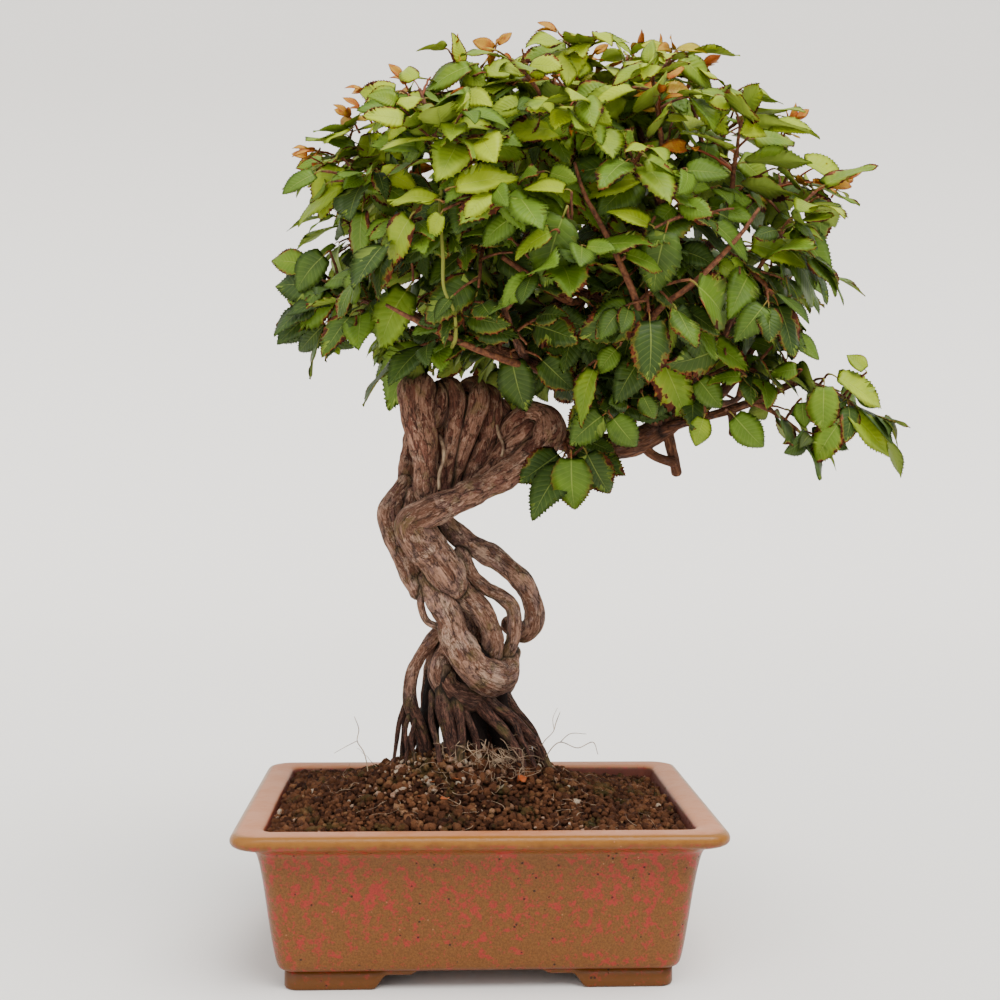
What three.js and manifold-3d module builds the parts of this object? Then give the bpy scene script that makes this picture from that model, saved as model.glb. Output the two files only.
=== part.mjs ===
// A korean hornbeam bonsai in its pot: a cast glazed pot on four bracket feet, drain screens and soil in it,
// wood of braided and fused stems, and leafy stems spread over the crown by a growth rule.
// Millimetres, +Z up. The parts are modelled with zero at the pot's middle, under its feet.
import * as THREE from "three";
import { mergeVertices } from "three/addons/utils/BufferGeometryUtils.js";
import Module from "manifold-3d";

const wasm = await Module();
wasm.setup();

// Pot: sizes over the rim, and levels above the surface that it stands on
const RIM_WIDTH = 300;
const RIM_DEPTH = 225;
const POT_HEIGHT = 101;
const FEET_HEIGHT = 11.6;
const FLOOR_TOP = 19;
const BODY_INSET = 25;
const WALL_INSET_TOP = 20;
const WALL_INSET_BOTTOM = 32;
const FOOT_INSET = 30.4;
const FOOT_ARM = 55;
const FOOT_SHORT_ARM = 0.7;
const FOOT_LIP = 80;
const FOOT_LIP_LEVEL = 8.8;
const FOOT_BREADTH = 17;
const DRAIN_RADIUS = 12;
const DRAIN_X = 60;

// Drain screens
const SCREEN_SIDE = 36;
const SCREEN_THICKNESS = 1.2;
const SCREEN_HOLES = 2;
const SCREEN_HOLE_SIDE = 8;

// Soil: a mound round the roots, with low grain on it
const SOIL_EDGE = 94;
const SOIL_MOUND = 31;
const MOUND_REACH_X = 82;
const MOUND_REACH_Y = 62;
const GRAIN_HEIGHT = 1.1;
const GRAIN_PITCH = 9;
const SOIL_WALL_TOP = 91;
const SOIL_SIDES = 38;
const SOIL_RINGS = 8;

// Root crown: the solid foot of the roots, which stands in a plain hole in the soil
const ROOT_CROWN = { x: -5, y: 2, halfX: 57, halfY: 36, bottom: 100, shoulder: 116, top: 127 };

// Clearance between solids
const GAP = 0.3;

// Stems of the trunk, each a route of [x, y, z, radius]
const TRUNK_STEMS = [
  // upper left loop, over its rounded top and down behind
  [[-34, 0, 297, 7.5], [-35, -2, 303, 7.7], [-36, -8, 322, 8.5], [-39, -12, 343, 10], [-42, -12, 358, 12],
    [-42, -7, 369, 12], [-39, 5, 372, 10.5], [-38, 20, 366, 8.5], [-42, 26, 350, 7], [-48, 22, 330, 5.5],
    [-50, 14, 308, 5]],
  // strands inside the upper braid
  [[-29, 4, 348, 3.5], [-26, 2, 357, 4.5], [-25, 2, 366, 4.7], [-28, 8, 373, 4.2]],
  [[-24, 4, 300, 5.5], [-20, 0, 323, 5.7], [-17, -2, 343, 5.9], [-15, -2, 359, 5.9], [-18, 4, 372, 5.9],
    [-24, 14, 374, 5.3], [-30, 22, 366, 5]],
  [[-20, 6, 304, 6], [-11, 0, 333, 6.4], [-5, -2, 349, 7], [-1, -1, 363, 7], [-2, 8, 373, 7],
    [-8, 18, 372, 6.3], [-12, 26, 360, 6]],
  [[-12, 8, 304, 5.7], [-2, 5, 322, 5.9], [5, 5, 338, 5.9], [9, 6, 354, 5.9], [8, 13, 367, 5.8],
    [2, 22, 370, 5.5], [-2, 29, 358, 5.3]],
  // knot on the right, then the stem that crosses in front to the left elbow
  [[19, 5, 334, 8], [24, 6, 347, 9.5], [31, 6, 352, 10], [38, 3, 354, 10], [45, -3, 350, 10],
    [45, -7, 340, 10], [36, -10, 328, 10], [14, -14, 312, 9], [-12, -18, 299, 9], [-34, -20, 289, 9.5],
    [-44, -17, 281, 9.5]],
  // elbow down to a blunt end
  [[-42, -18, 281, 10], [-31, -17, 262, 12], [-22, -15, 249, 12], [-17, -10, 241, 9]],
  // outer left stem
  [[-50, 10, 308, 5.5], [-56, 4, 298, 7], [-60, 2, 288, 8], [-57, 0, 275, 8], [-48, -2, 255, 7.5],
    [-40, -6, 238, 7.5]],
  // front stem, down and round at the bottom and up behind
  [[-33, -9, 244, 8], [-25, -13, 229, 9], [-20, -15, 219, 9], [-17, -16, 209, 10], [-11, -18, 198, 11],
    [-4, -17, 188, 12], [6, -13, 181, 12], [15, -3, 180, 10.5], [20, 8, 185, 8.5], [22, 18, 193, 7.5]],
  // stem behind the front one
  [[-16, -4, 241, 9], [-9, -4, 233, 8.5], [-1, -5, 227, 8], [5, -6, 218, 8], [9, -5, 208, 8],
    [9, 0, 196, 7.5], [8, 7, 185, 6.5]],
  // thin inner stem of the right loops
  [[-12, 5, 262, 5.5], [-4, 3, 246, 5.3], [5, 2, 238, 5], [15, 2, 233, 5], [22, 2, 226, 5],
    [24, 2, 215, 5.2], [23, 4, 204, 5], [18, 9, 190, 4.5]],
  // outer right loop
  [[-25, 4, 284, 7], [-11, 8, 271, 7], [-1, 8, 265, 7.5], [10, 8, 259, 7], [21, 8, 251, 7],
    [30, 8, 242, 7], [35, 8, 233, 7], [38, 8, 223, 7], [37, 12, 213, 7], [31, 20, 207, 6.8],
    [22, 24, 212, 6.2]],
  // small loop in front of the outer left stem
  [[-33, -13, 249, 2.5], [-38, -12, 238, 2.5], [-38, -10, 226, 2.5], [-34, -9, 217, 2.5], [-25, -9, 213, 2.4]],
  // bundle behind, which joins the braid to the root base
  [[-28, 8, 300, 9], [-34, 6, 280, 9], [-30, 6, 258, 9], [-18, 8, 238, 9], [-4, 12, 215, 9], [0, 12, 192, 10]],
];

// Roots, from the trunk down into the root crown
const ROOTS = [
  [[-16, -4, 203, 7], [-22, 0, 194, 8], [-25, -5, 183, 9], [-20, -9, 172, 9.5], [-10, -8, 167, 9],
    [2, 0, 167, 8], [11, 6, 170, 7]],
  [[-22, -8, 168, 6], [-19, -8, 150, 4.6], [-20, -8, 118, 4.4]],
  [[-20, 4, 214, 5], [-30, 1, 205, 4.8], [-37, -1, 196, 4.6], [-44, -4, 182, 4.5],
    [-45, -4, 163, 4.6], [-39, -4, 147, 4.8], [-34, -4, 132, 5], [-32, -4, 118, 5]],
  [[-24, 8, 206, 4.2], [-33, 8, 181, 4], [-34, 8, 154, 4], [-28, 8, 118, 4]],
  [[-44, 0, 176, 2.4], [-47, 2, 160, 2], [-49, 2, 146, 1.8], [-50, 2, 132, 1.7], [-50, 2, 114, 1.7]],
  [[8, 2, 170, 4], [15, 4, 161, 2.8], [28, 4, 148, 2.5], [38, 3, 135, 2.5], [42, 2, 114, 2.5]],
  [[2, 8, 168, 6], [10, 10, 152, 4.6], [20, 10, 144, 4.5], [28, 8, 136, 4.2], [32, 6, 114, 4]],
  [[22, 14, 196, 5], [23, 18, 184, 4.6], [22, 17, 174, 4.5], [14, 12, 163, 4.5], [8, 10, 150, 4.5],
    [12, 14, 116, 4.5]],
  [[-12, -8, 170, 4.5], [-8, -12, 156, 3], [-2, -14, 141, 2.7], [0, -15, 116, 2.6]],
  [[-4, 6, 172, 8], [-8, 14, 152, 6], [-14, 20, 136, 5], [-20, 24, 114, 5]],
  [[-20, 8, 176, 6], [-26, 16, 152, 4.5], [-36, 20, 134, 4], [-40, 18, 114, 4]],
  [[-2, 0, 190, 12], [-4, 0, 168, 12], [-6, 2, 146, 12], [-8, 2, 116, 16]],
];

// Limbs of the crown, from the knot out to the twigs
const LIMBS = [
  [[40, 0, 342, 9], [62, 4, 337, 9], [85, 2, 333, 9], [107, 0, 338, 9], [126, 0, 351, 9],
    [139, 1, 368, 9], [146, 2, 390, 8.5], [145, 2, 415, 8], [139, 2, 440, 7], [130, 6, 470, 6],
    [119, 5, 505, 4.5], [104, 2, 545, 2.6]],
  [[143, 0, 404, 6], [124, -10, 412, 5], [100, -15, 419, 4.4], [70, -18, 431, 4], [24, -16, 456, 3.6],
    [0, -12, 474, 3.2], [-30, -6, 494, 2.6], [-58, 0, 508, 1.9]],
  [[98, 0, 336, 6], [84, -16, 352, 4.4], [60, -26, 374, 3.6], [20, -31, 391, 3.2], [-24, -30, 405, 2.8],
    [-50, -29, 418, 2.4], [-72, -26, 416, 1.8]],
  [[120, -2, 346, 5.5], [111, -14, 362, 4], [104, -24, 392, 3.2], [98, -30, 422, 2.8], [87, -36, 450, 2.5],
    [75, -42, 478, 2.1], [62, -46, 506, 1.7]],
  [[101, -26, 408, 3.2], [118, -38, 436, 2.9], [144, -45, 462, 2.6], [166, -48, 486, 1.9]],
  [[116, -3, 343, 5], [136, -14, 350, 3.2], [160, -22, 357, 2.9], [184, -26, 366, 2.6], [208, -28, 376, 2.2],
    [226, -28, 372, 1.8]],
  [[137, 2, 366, 5.5], [158, 4, 368, 4], [176, 6, 388, 3.4], [187, 4, 412, 2.7],
    [194, 2, 436, 1.9]],
  [[55, -17, 437, 3.4], [46, 6, 424, 3.2], [40, 30, 430, 3], [28, 58, 440, 2.5], [14, 84, 446, 1.8]],
  [[100, 5, 337, 6], [98, 28, 350, 4.4], [89, 52, 376, 3.4], [79, 72, 399, 2.7], [73, 84, 422, 1.9]],
  [[145, 4, 400, 6], [156, 22, 413, 4], [170, 42, 427, 3.1], [182, 58, 444, 1.9]],
  [[134, 5, 455, 5], [122, 32, 472, 3.6], [109, 56, 493, 2.8], [98, 70, 514, 1.9]],
  [[6, -13, 470, 3], [-6, 20, 480, 2.7], [-26, 44, 487, 2.3], [-46, 58, 490, 1.8]],
  [[30, -17, 454, 3.2], [8, -46, 466, 2.6], [-14, -66, 479, 2.2], [-26, -74, 490, 1.8]],
  [[134, -2, 362, 5], [141, -26, 377, 3.6], [149, -50, 396, 2.8], [157, -68, 418, 1.8]],
  [[28, -31, 389, 3], [22, -54, 395, 2.6], [16, -72, 404, 2.2], [11, -82, 416, 1.8]],
  [[90, -35, 444, 2.6], [98, -56, 460, 2.3], [106, -72, 476, 2], [112, -80, 490, 1.7]],
  [[-2, -12, 476, 3], [-10, -6, 503, 2.5], [-14, -2, 524, 2], [-15, 0, 540, 1.7]],
  [[121, 5, 498, 4], [140, 8, 518, 2.8], [151, 6, 536, 1.9]],
  [[112, 3, 524, 3.4], [84, -10, 544, 2.4], [58, -16, 562, 1.7]],
  [[40, 20, 426, 2.8], [10, 29, 413, 2.5], [-22, 37, 411, 2.1], [-46, 40, 415, 1.8]],
  [[150, 5, 367, 3.6], [165, 24, 364, 2.8], [180, 40, 368, 2.3], [190, 47, 377, 1.8]],
];

// Cut pegs under the crown's trunk, with flat ends
const PEGS = [
  [[124, 0, 350, 4.2], [127, 0, 338, 3.6], [132, 0, 317, 3.4]],
  [[108, 0, 336, 3.6], [116, -2, 328, 3.2], [129, -4, 323, 3]],
  [[164, -22, 358, 3.2], [165, -22, 350, 3], [165, -22, 343, 2.8]],
];

// Crown: a rounded box round its middle, flatter below on the left than on the right
const CROWN = {
  x: 57, y: 0, z: 470, halfX: 168, halfY: 124, above: 121, below: 100, belowLean: 28, power: 2.4,
};
const SHOOT_SPREAD = 61;
const LOWEST_SHOOT = -0.6;
const SHOOT_DEPTH = 0.1;
const SHOOT_SPACING = 40;

// Tips of the shoots that stand out of the crown in the photograph
const NAMED_TIPS = [
  [256, -24, 352], [-14, -14, 574], [97, -6, 588], [136, 4, 576], [-98, -8, 520], [58, -34, 318],
  [-46, -44, 392], [210, -12, 510], [-96, -14, 428], [210, -34, 340],
];

// Twigs: the shortest, how far they rise, their radius at both ends and the room that they keep from twigs and,
// beyond the place where they leave the wood, from limbs
const LIMB_STEPS = 6;
const STARTS_TRIED = 60;
const SHORTEST_TWIG = 42;
const TWIG_RISE = 0.14;
const TWIG_RADIUS = [1.9, 1];
const TWIG_POINTS = 31;
const TWIG_ROOM = 5;
const TWIG_LIMB_ROOM = 4;
const LEAVING_LENGTH = 12;
const NODE_LENGTH = 2.6;

// Leaves: where they stand on a twig, their sizes and their room
const LEAF_SPACING = 7.4;
const MOST_SIDE_LEAVES = 7;
const FIRST_LEAF = 0.26;
const LAST_SIDE_LEAF = 0.93;
const STALK = 7;
const LEAF_LENGTH = [30, 7];
const LEAF_BREADTH = 0.6;
const LEAF_MIDDLE = 0.9;
const STALK_HALF = [0.9, 0.7];
const LEAF_DROOP = [0.1, 0.45];
const LEAF_ROLL = 0.8;
const LEAF_OUTWARD = 0.4;
const LEAF_SHIFT = 0.3;
const LEAF_ROOM = 2.3;
const LIMB_ROOM = 3;
const LEAF_ANGLES = [0.95, 0.8, 1.15, 0.65, 1.0, 0.75];
const END_LEAF_ANGLES = [0.08, 0.2, 0.3];

// One side of a leaf's toothed edge: how far along the blade, and how far out
const LEAF_EDGE = [[0.05, 0.62], [0.34, 1], [0.43, 0.8], [0.7, 0.7]];
const LEAF_CENTRE = 0.42;
const LEAF_ARCH = 0.2;
const LEAF_FOLD = 0.28;

// Where a leaf is tested for room: rows along the blade, with the edge's place out from the midrib
const LEAF_ROWS = [[0.05, 0.6], [0.2, 0.85], [0.35, 0.97], [0.5, 0.9], [0.65, 0.75], [0.8, 0.45], [1, 0]];

// Faces round the stems
const TRUNK_SIDES = 6;
const ROOT_SIDES = 5;
const LIMB_SIDES = 4;

// Solids and geometries

// A closed geometry as a solid, after its shared vertices are merged.
function solidOf(geometry) {
  const bare = geometry.clone();
  bare.deleteAttribute("normal");
  bare.deleteAttribute("uv");
  const merged = mergeVertices(bare, 1e-4);
  const mesh = new wasm.Mesh({
    numProp: 3,
    vertProperties: merged.attributes.position.array,
    triVerts: new Uint32Array(merged.index.array),
  });
  return new wasm.Manifold(mesh);
}

function geometryOf(solid) {
  const mesh = solid.getMesh();
  const geometry = new THREE.BufferGeometry();
  geometry.setAttribute("position", new THREE.BufferAttribute(mesh.vertProperties, 3));
  geometry.setIndex(new THREE.BufferAttribute(mesh.triVerts, 1));
  geometry.computeVertexNormals();
  return geometry;
}

const vector = ([x, y, z]) => new THREE.Vector3(x, y, z);

const joined = (solids) => solids.reduce((sum, solid) => sum.add(solid));

// The biggest body of a solid: what a cut has left loose is dropped.
const biggest = (solid) => solid.decompose().reduce((a, b) => (a.volume() > b.volume() ? a : b));

// Rings of equally many points, skinned one to the next and closed with a fan at both ends.
function loft(rings) {
  const count = rings[0].length;
  const vertices = rings.flat();
  const middle = (ring) => ring.reduce((sum, p) => sum.add(p), new THREE.Vector3()).divideScalar(count);
  vertices.push(middle(rings[0]), middle(rings[rings.length - 1]));
  const [first, last] = [vertices.length - 2, vertices.length - 1];
  const triangles = [];
  for (let k = 0; k < count; k++) {
    const next = (k + 1) % count;
    triangles.push(first, next, k);
    for (let ring = 0; ring < rings.length - 1; ring++) {
      const [a, b] = [ring * count + k, ring * count + next];
      triangles.push(a, b, b + count, a, b + count, a + count);
    }
    const top = (rings.length - 1) * count;
    triangles.push(last, top + k, top + next);
  }
  const geometry = new THREE.BufferGeometry().setFromPoints(vertices);
  geometry.setIndex(triangles);
  return geometry;
}

// A round-cornered rectangle as points, counter-clockwise, at a level.
function roundedRectangle(halfX, halfY, radius, level, perCorner = 3) {
  const points = [];
  const corners = [[1, -1], [1, 1], [-1, 1], [-1, -1]];
  corners.forEach(([sx, sy], corner) => {
    for (let k = 0; k < perCorner; k++) {
      const angle = (corner - 1 + k / (perCorner - 1)) * (Math.PI / 2);
      const x = sx * (halfX - radius) + radius * Math.cos(angle);
      const y = sy * (halfY - radius) + radius * Math.sin(angle);
      points.push(new THREE.Vector3(x, y, level));
    }
  });
  return points;
}

// A wooden stem: a cylinder bent along a route of [x, y, z, radius], with a ring at each of its points.
// Each ring stands square to the way from the point before it to the point after it.
function stem(route, sides, extra = 0) {
  const points = route.map(vector);
  const last = points.length - 1;
  let normal = vector([0.31, 0.87, 0.38]);
  const frames = points.map((point, k) => {
    const along = points[Math.min(k + 1, last)].clone().sub(points[Math.max(k - 1, 0)]).normalize();
    normal = normal.clone().addScaledVector(along, -normal.dot(along)).normalize();
    return { normal, side: along.clone().cross(normal) };
  });
  const geometry = new THREE.CylinderGeometry(1, 1, 1, sides, last);
  const position = geometry.attributes.position;
  for (let i = 0; i < position.count; i++) {
    const ring = Math.round((0.5 - position.getY(i)) * last);
    const radius = route[ring][3] + extra;
    const point = points[ring].clone();
    point.addScaledVector(frames[ring].normal, radius * position.getX(i));
    point.addScaledVector(frames[ring].side, radius * position.getZ(i));
    position.setXYZ(i, point.x, point.y, point.z);
  }
  return solidOf(geometry);
}

// A cylinder on the Z axis with an elliptic section.
function ellipticPrism(x, y, halfX, halfY, bottom, top, sides) {
  const geometry = new THREE.CylinderGeometry(1, 1, top - bottom, sides);
  geometry.rotateX(Math.PI / 2);
  geometry.scale(halfX, halfY, 1);
  geometry.translate(x, y, (bottom + top) / 2);
  return solidOf(geometry);
}

function block(x, y, width, depth, bottom, top) {
  const geometry = new THREE.BoxGeometry(width, depth, top - bottom);
  geometry.translate(x, y, (bottom + top) / 2);
  return solidOf(geometry);
}

// Pot

// Levels of the pot's outside and inside: [inset from the rim's edge, level, corner radius].
const POT_PROFILE = [
  [BODY_INSET + 4, FEET_HEIGHT, 9], [BODY_INSET, FEET_HEIGHT + 4, 12], [BODY_INSET - 9, 84, 13],
  [11, 89.5, 14], [2.5, 92, 15], [0, 94.5, 16], [0, 98, 16], [2.5, POT_HEIGHT, 15],
  [WALL_INSET_TOP - 3, POT_HEIGHT, 9], [WALL_INSET_TOP, POT_HEIGHT - 3, 8], [WALL_INSET_BOTTOM, FLOOR_TOP, 7],
];

const potRing = ([inset, level, radius], clearance = 0) =>
  roundedRectangle(RIM_WIDTH / 2 - inset - clearance, RIM_DEPTH / 2 - inset - clearance, radius, level);

// One arm of a foot, seen from its side: full height from the corner, then a slant up to a thin lip.
function footArm(length) {
  const arm = FOOT_ARM * length;
  const lip = FOOT_LIP * length;
  const shape = new THREE.Shape([
    new THREE.Vector2(0, 0), new THREE.Vector2(arm, 0), new THREE.Vector2(arm + 6, FOOT_LIP_LEVEL),
    new THREE.Vector2(lip, FOOT_LIP_LEVEL + 0.6), new THREE.Vector2(lip + 2, FEET_HEIGHT + 1),
    new THREE.Vector2(0, FEET_HEIGHT + 1),
  ]);
  const geometry = new THREE.ExtrudeGeometry(shape, { depth: FOOT_BREADTH, bevelEnabled: false });
  geometry.rotateX(Math.PI / 2);
  geometry.translate(0, FOOT_BREADTH, 0);
  return geometry;
}

function feet() {
  const halfX = RIM_WIDTH / 2 - FOOT_INSET;
  const halfY = RIM_DEPTH / 2 - FOOT_INSET;
  const corners = [[-1, -1, 0], [1, -1, 1], [1, 1, 2], [-1, 1, 3]];
  const arms = corners.flatMap(([sx, sy, turn]) => {
    const along = footArm(turn % 2 ? FOOT_SHORT_ARM : 1);
    const across = footArm(turn % 2 ? 1 : FOOT_SHORT_ARM);
    across.rotateZ(Math.PI / 2);
    across.translate(FOOT_BREADTH, 0, 0);
    return [along, across].map((geometry) => {
      geometry.rotateZ((turn * Math.PI) / 2);
      geometry.translate(sx * halfX, sy * halfY, 0);
      return solidOf(geometry);
    });
  });
  const outline = [0, FEET_HEIGHT + 1].map((level) => roundedRectangle(halfX, halfY, 9, level, 4));
  return joined(arms).intersect(solidOf(loft(outline)));
}

function pot() {
  const shell = solidOf(loft(POT_PROFILE.map((level) => potRing(level))));
  const drains = [-DRAIN_X, DRAIN_X].map((x) =>
    ellipticPrism(x, 0, DRAIN_RADIUS, DRAIN_RADIUS, FEET_HEIGHT - 1, FLOOR_TOP + 1, 16));
  return shell.add(feet()).subtract(joined(drains));
}

// Drain screen: a square of mesh flat on the floor over a drain hole.
function drainScreen(x) {
  const [bottom, top] = [FLOOR_TOP + GAP, FLOOR_TOP + GAP + SCREEN_THICKNESS];
  const pitch = SCREEN_SIDE / (SCREEN_HOLES + 1);
  const holes = [];
  for (let row = 1; row <= SCREEN_HOLES; row++)
    for (let column = 1; column <= SCREEN_HOLES; column++) {
      const [u, v] = [column * pitch - SCREEN_SIDE / 2, row * pitch - SCREEN_SIDE / 2];
      holes.push(block(x + u, v, SCREEN_HOLE_SIDE, SCREEN_HOLE_SIDE, bottom - 1, top + 1));
    }
  return block(x, 0, SCREEN_SIDE, SCREEN_SIDE, bottom, top).subtract(joined(holes));
}

// Soil

// Level of the soil: a smooth mound, a little higher at the left and back, with low grain.
function soilLevel(x, y) {
  const mound = SOIL_MOUND * Math.exp(-((x / MOUND_REACH_X) ** 2) - (y / MOUND_REACH_Y) ** 2);
  const lean = -0.012 * x + 0.012 * y;
  const wave = (2 * Math.PI) / GRAIN_PITCH;
  const grain = Math.sin(wave * x + 1.3 * Math.sin(y / 5)) * Math.sin(wave * y + 1.7 * Math.sin(x / 6));
  return SOIL_EDGE + mound + lean + GRAIN_HEIGHT * grain;
}

function soil() {
  const wallAt = (level) => {
    const share = (POT_HEIGHT - 3 - level) / (POT_HEIGHT - 3 - FLOOR_TOP);
    return THREE.MathUtils.lerp(WALL_INSET_TOP, WALL_INSET_BOTTOM, share);
  };
  const ring = (level, shrink) => {
    const inset = wallAt(level) + 2 * GAP;
    const corners = roundedRectangle(RIM_WIDTH / 2 - inset, RIM_DEPTH / 2 - inset, 6.5, level);
    const outline = new THREE.CatmullRomCurve3(corners, true, "catmullrom", 0).getSpacedPoints(SOIL_SIDES);
    return outline.slice(0, SOIL_SIDES).map((p) => p.multiply(new THREE.Vector3(shrink, shrink, 1)));
  };
  const rings = [ring(FLOOR_TOP + GAP, 1), ring(SOIL_WALL_TOP, 1)];
  for (let k = 0; k < SOIL_RINGS; k++) {
    const shrink = 1 - (k && k + 0.4) / SOIL_RINGS;
    rings.push(ring(SOIL_WALL_TOP, shrink).map((p) => p.setZ(soilLevel(p.x, p.y))));
  }
  const crown = ROOT_CROWN;
  const hole = ellipticPrism(
    crown.x, crown.y, crown.halfX + GAP, crown.halfY + GAP, crown.bottom - GAP, POT_HEIGHT + 60, 28);
  const pocketSide = SCREEN_SIDE + 2 * GAP;
  const pockets = [-DRAIN_X, DRAIN_X].map((x) =>
    block(x, 0, pocketSide, pocketSide, FLOOR_TOP - 1, FLOOR_TOP + 2 * GAP + SCREEN_THICKNESS));
  return solidOf(loft(rings)).subtract(hole).subtract(joined(pockets));
}

// Wood

function rootCrown() {
  const { x, y, halfX, halfY, bottom, shoulder, top } = ROOT_CROWN;
  const slope = (shoulder + top) / 2 + 2;
  const profile = [[0, bottom], [0.96, bottom], [1, bottom + 3], [1, shoulder], [0.7, slope], [0, top]];
  const geometry = new THREE.LatheGeometry(profile.map(([r, z]) => new THREE.Vector2(r, z)), 28);
  geometry.rotateX(Math.PI / 2);
  geometry.scale(halfX, halfY, 1);
  geometry.translate(x, y, 0);
  return solidOf(geometry);
}

function wood(extra) {
  const trunk = TRUNK_STEMS.map((route) => stem(route, TRUNK_SIDES, extra));
  const roots = ROOTS.map((route) => stem(route, ROOT_SIDES, extra));
  const limbs = LIMBS.map((route, index) => stem(route, index ? LIMB_SIDES : TRUNK_SIDES, extra));
  const pegs = PEGS.map((route) => stem(route, ROOT_SIDES, extra));
  return joined([...trunk, ...roots, ...limbs, ...pegs]);
}

// Growth of the leafy stems

// Repeatable draws between 0 and 1.
function draws(seed) {
  let state = seed;
  return () => {
    state = (state * 16807) % 2147483647;
    return state / 2147483647;
  };
}

const CROWN_MIDDLE = vector([CROWN.x, CROWN.y, CROWN.z]);
const UP = vector([0, 0, 1]);

// Distance from the crown's middle to its outside in a direction.
function crownReach(direction) {
  const below = CROWN.below + CROWN.belowLean * direction.x;
  const halves = [CROWN.halfX, CROWN.halfY, direction.z > 0 ? CROWN.above : below];
  const shares = direction.toArray().map((part, axis) => Math.abs(part / halves[axis]));
  const sum = shares.reduce((total, share) => total + share ** CROWN.power, 0);
  return sum ** (-1 / CROWN.power);
}

// Tips of the shoots: the named ones, then an even spread over the crown in a sunflower spiral.
function shootTips() {
  const tips = NAMED_TIPS.map(vector);
  for (let k = 0; k < SHOOT_SPREAD; k++) {
    const rise = 1 - (2 * (k + 0.5)) / SHOOT_SPREAD;
    const turn = k * Math.PI * (3 - Math.sqrt(5));
    const flat = Math.sqrt(1 - rise * rise);
    const direction = vector([flat * Math.cos(turn), flat * Math.sin(turn), rise]);
    const draw = draws(311 + 17 * k);
    draw();
    const reach = crownReach(direction) * (1 - SHOOT_DEPTH * draw());
    const tip = direction.multiplyScalar(reach).add(CROWN_MIDDLE);
    const crowded = NAMED_TIPS.some((named) => vector(named).distanceTo(tip) < SHOOT_SPACING);
    if (rise > LOWEST_SHOOT && !crowded) tips.push(tip);
  }
  return tips;
}

// Points along the limbs, evenly in each span of the route, each with the limb's radius there.
function limbPoints() {
  const spans = LIMBS.flatMap((route) => route.slice(1).map((end, k) => [route[k], end]));
  const shares = Array.from({ length: LIMB_STEPS }, (_, k) => k / LIMB_STEPS);
  return spans.flatMap(([start, end]) => shares.map((share) => ({
    point: vector(start).lerp(vector(end), share),
    radius: THREE.MathUtils.lerp(start[3], end[3], share),
  })));
}

// A twig from a limb to its tip: a curve of one bend that leaves the limb a little upwards.
function twigCurve(start, tip) {
  const bend = start.clone().lerp(tip, 0.5).addScaledVector(UP, TWIG_RISE * start.distanceTo(tip));
  return new THREE.QuadraticBezierCurve3(start, bend, tip);
}

const nearest = (point, line) => Math.min(...line.map((other) => other.distanceTo(point)));

// The twig for each tip starts at the nearest limb point from which it passes clear of limbs and other twigs.
// Its leaves stand to both sides in one plane, level where the twig isn't upright.
function growTwigs(limbs) {
  const twigs = [];
  const clear = (p, limb) => limb.point.distanceTo(p) > limb.radius + TWIG_LIMB_ROOM;
  shootTips().forEach((tip, index) => {
    const starts = limbs.filter(({ point }) => point.distanceTo(tip) > SHORTEST_TWIG);
    starts.sort((a, b) => a.point.distanceTo(tip) - b.point.distanceTo(tip));
    for (const { point, radius } of starts.slice(0, STARTS_TRIED)) {
      const curve = twigCurve(point, tip);
      const line = curve.getPoints(TWIG_POINTS - 1);
      const free = line.filter((p) => p.distanceTo(point) > radius + LEAVING_LENGTH);
      const clearOfLimbs = free.every((p) => limbs.every((limb) => clear(p, limb)));
      const clearOfTwigs = twigs.every((twig) => line.every((p) => nearest(p, twig.line) > TWIG_ROOM));
      if (clearOfLimbs && clearOfTwigs) {
        const level = tip.clone().sub(point).normalize().cross(UP);
        const side = level.length() > 0.3 ? level : vector([Math.cos(index), Math.sin(index), 0]);
        twigs.push({ curve, line, side: side.normalize() });
        break;
      }
    }
  });
  return twigs;
}

// The twig's own axes at a share of its length: along it, sideways and up.
function twigAxes({ curve, side }, share) {
  const along = curve.getTangent(share);
  const upper = side.clone().cross(along).normalize();
  return { along, upper, sideways: along.clone().cross(upper) };
}

// Where a leaf sits: its foot on the twig, its length's direction and its upper side's normal.
function leafPlace(twig, share, hand, angle, draw) {
  const { along, upper, sideways } = twigAxes(twig, share);
  const foot = twig.curve.getPoint(share);
  const droop = LEAF_DROOP[0] + LEAF_DROOP[1] * draw();
  const roll = LEAF_ROLL * (draw() - 0.5);
  const length = LEAF_LENGTH[0] + LEAF_LENGTH[1] * draw();
  const direction = along.multiplyScalar(Math.cos(angle)).addScaledVector(sideways, hand * Math.sin(angle));
  direction.addScaledVector(UP, -droop).normalize();
  const outward = foot.clone().sub(CROWN_MIDDLE).normalize();
  const normal = upper.add(outward.multiplyScalar(LEAF_OUTWARD));
  normal.addScaledVector(direction, -normal.dot(direction)).normalize();
  normal.applyAxisAngle(direction, roll);
  return { foot, direction, normal, across: normal.clone().cross(direction), length, hand, share };
}

// The blade arches down towards its tip and folds up on both sides of its midrib.
function leafLift(length, along, across) {
  const share = Math.max(0, along - STALK) / length;
  return LEAF_FOLD * Math.abs(across) - LEAF_ARCH * length * share * share;
}

// A point of a leaf: along its length from the foot, across it, and off its middle surface.
function leafPoint(leaf, along, across, off) {
  const point = leaf.foot.clone().addScaledVector(leaf.direction, along).addScaledVector(leaf.across, across);
  return point.addScaledVector(leaf.normal, off + leafLift(leaf.length, along, across));
}

function leafProbes(leaf) {
  const half = (LEAF_BREADTH * leaf.length) / 2;
  const rows = LEAF_ROWS.flatMap(([share, out]) =>
    [-1, 0, 1].map((hand) => leafPoint(leaf, STALK + share * leaf.length, hand * out * half, 0)));
  return [leafPoint(leaf, 0.6 * STALK, 0, 0), ...rows];
}

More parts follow.
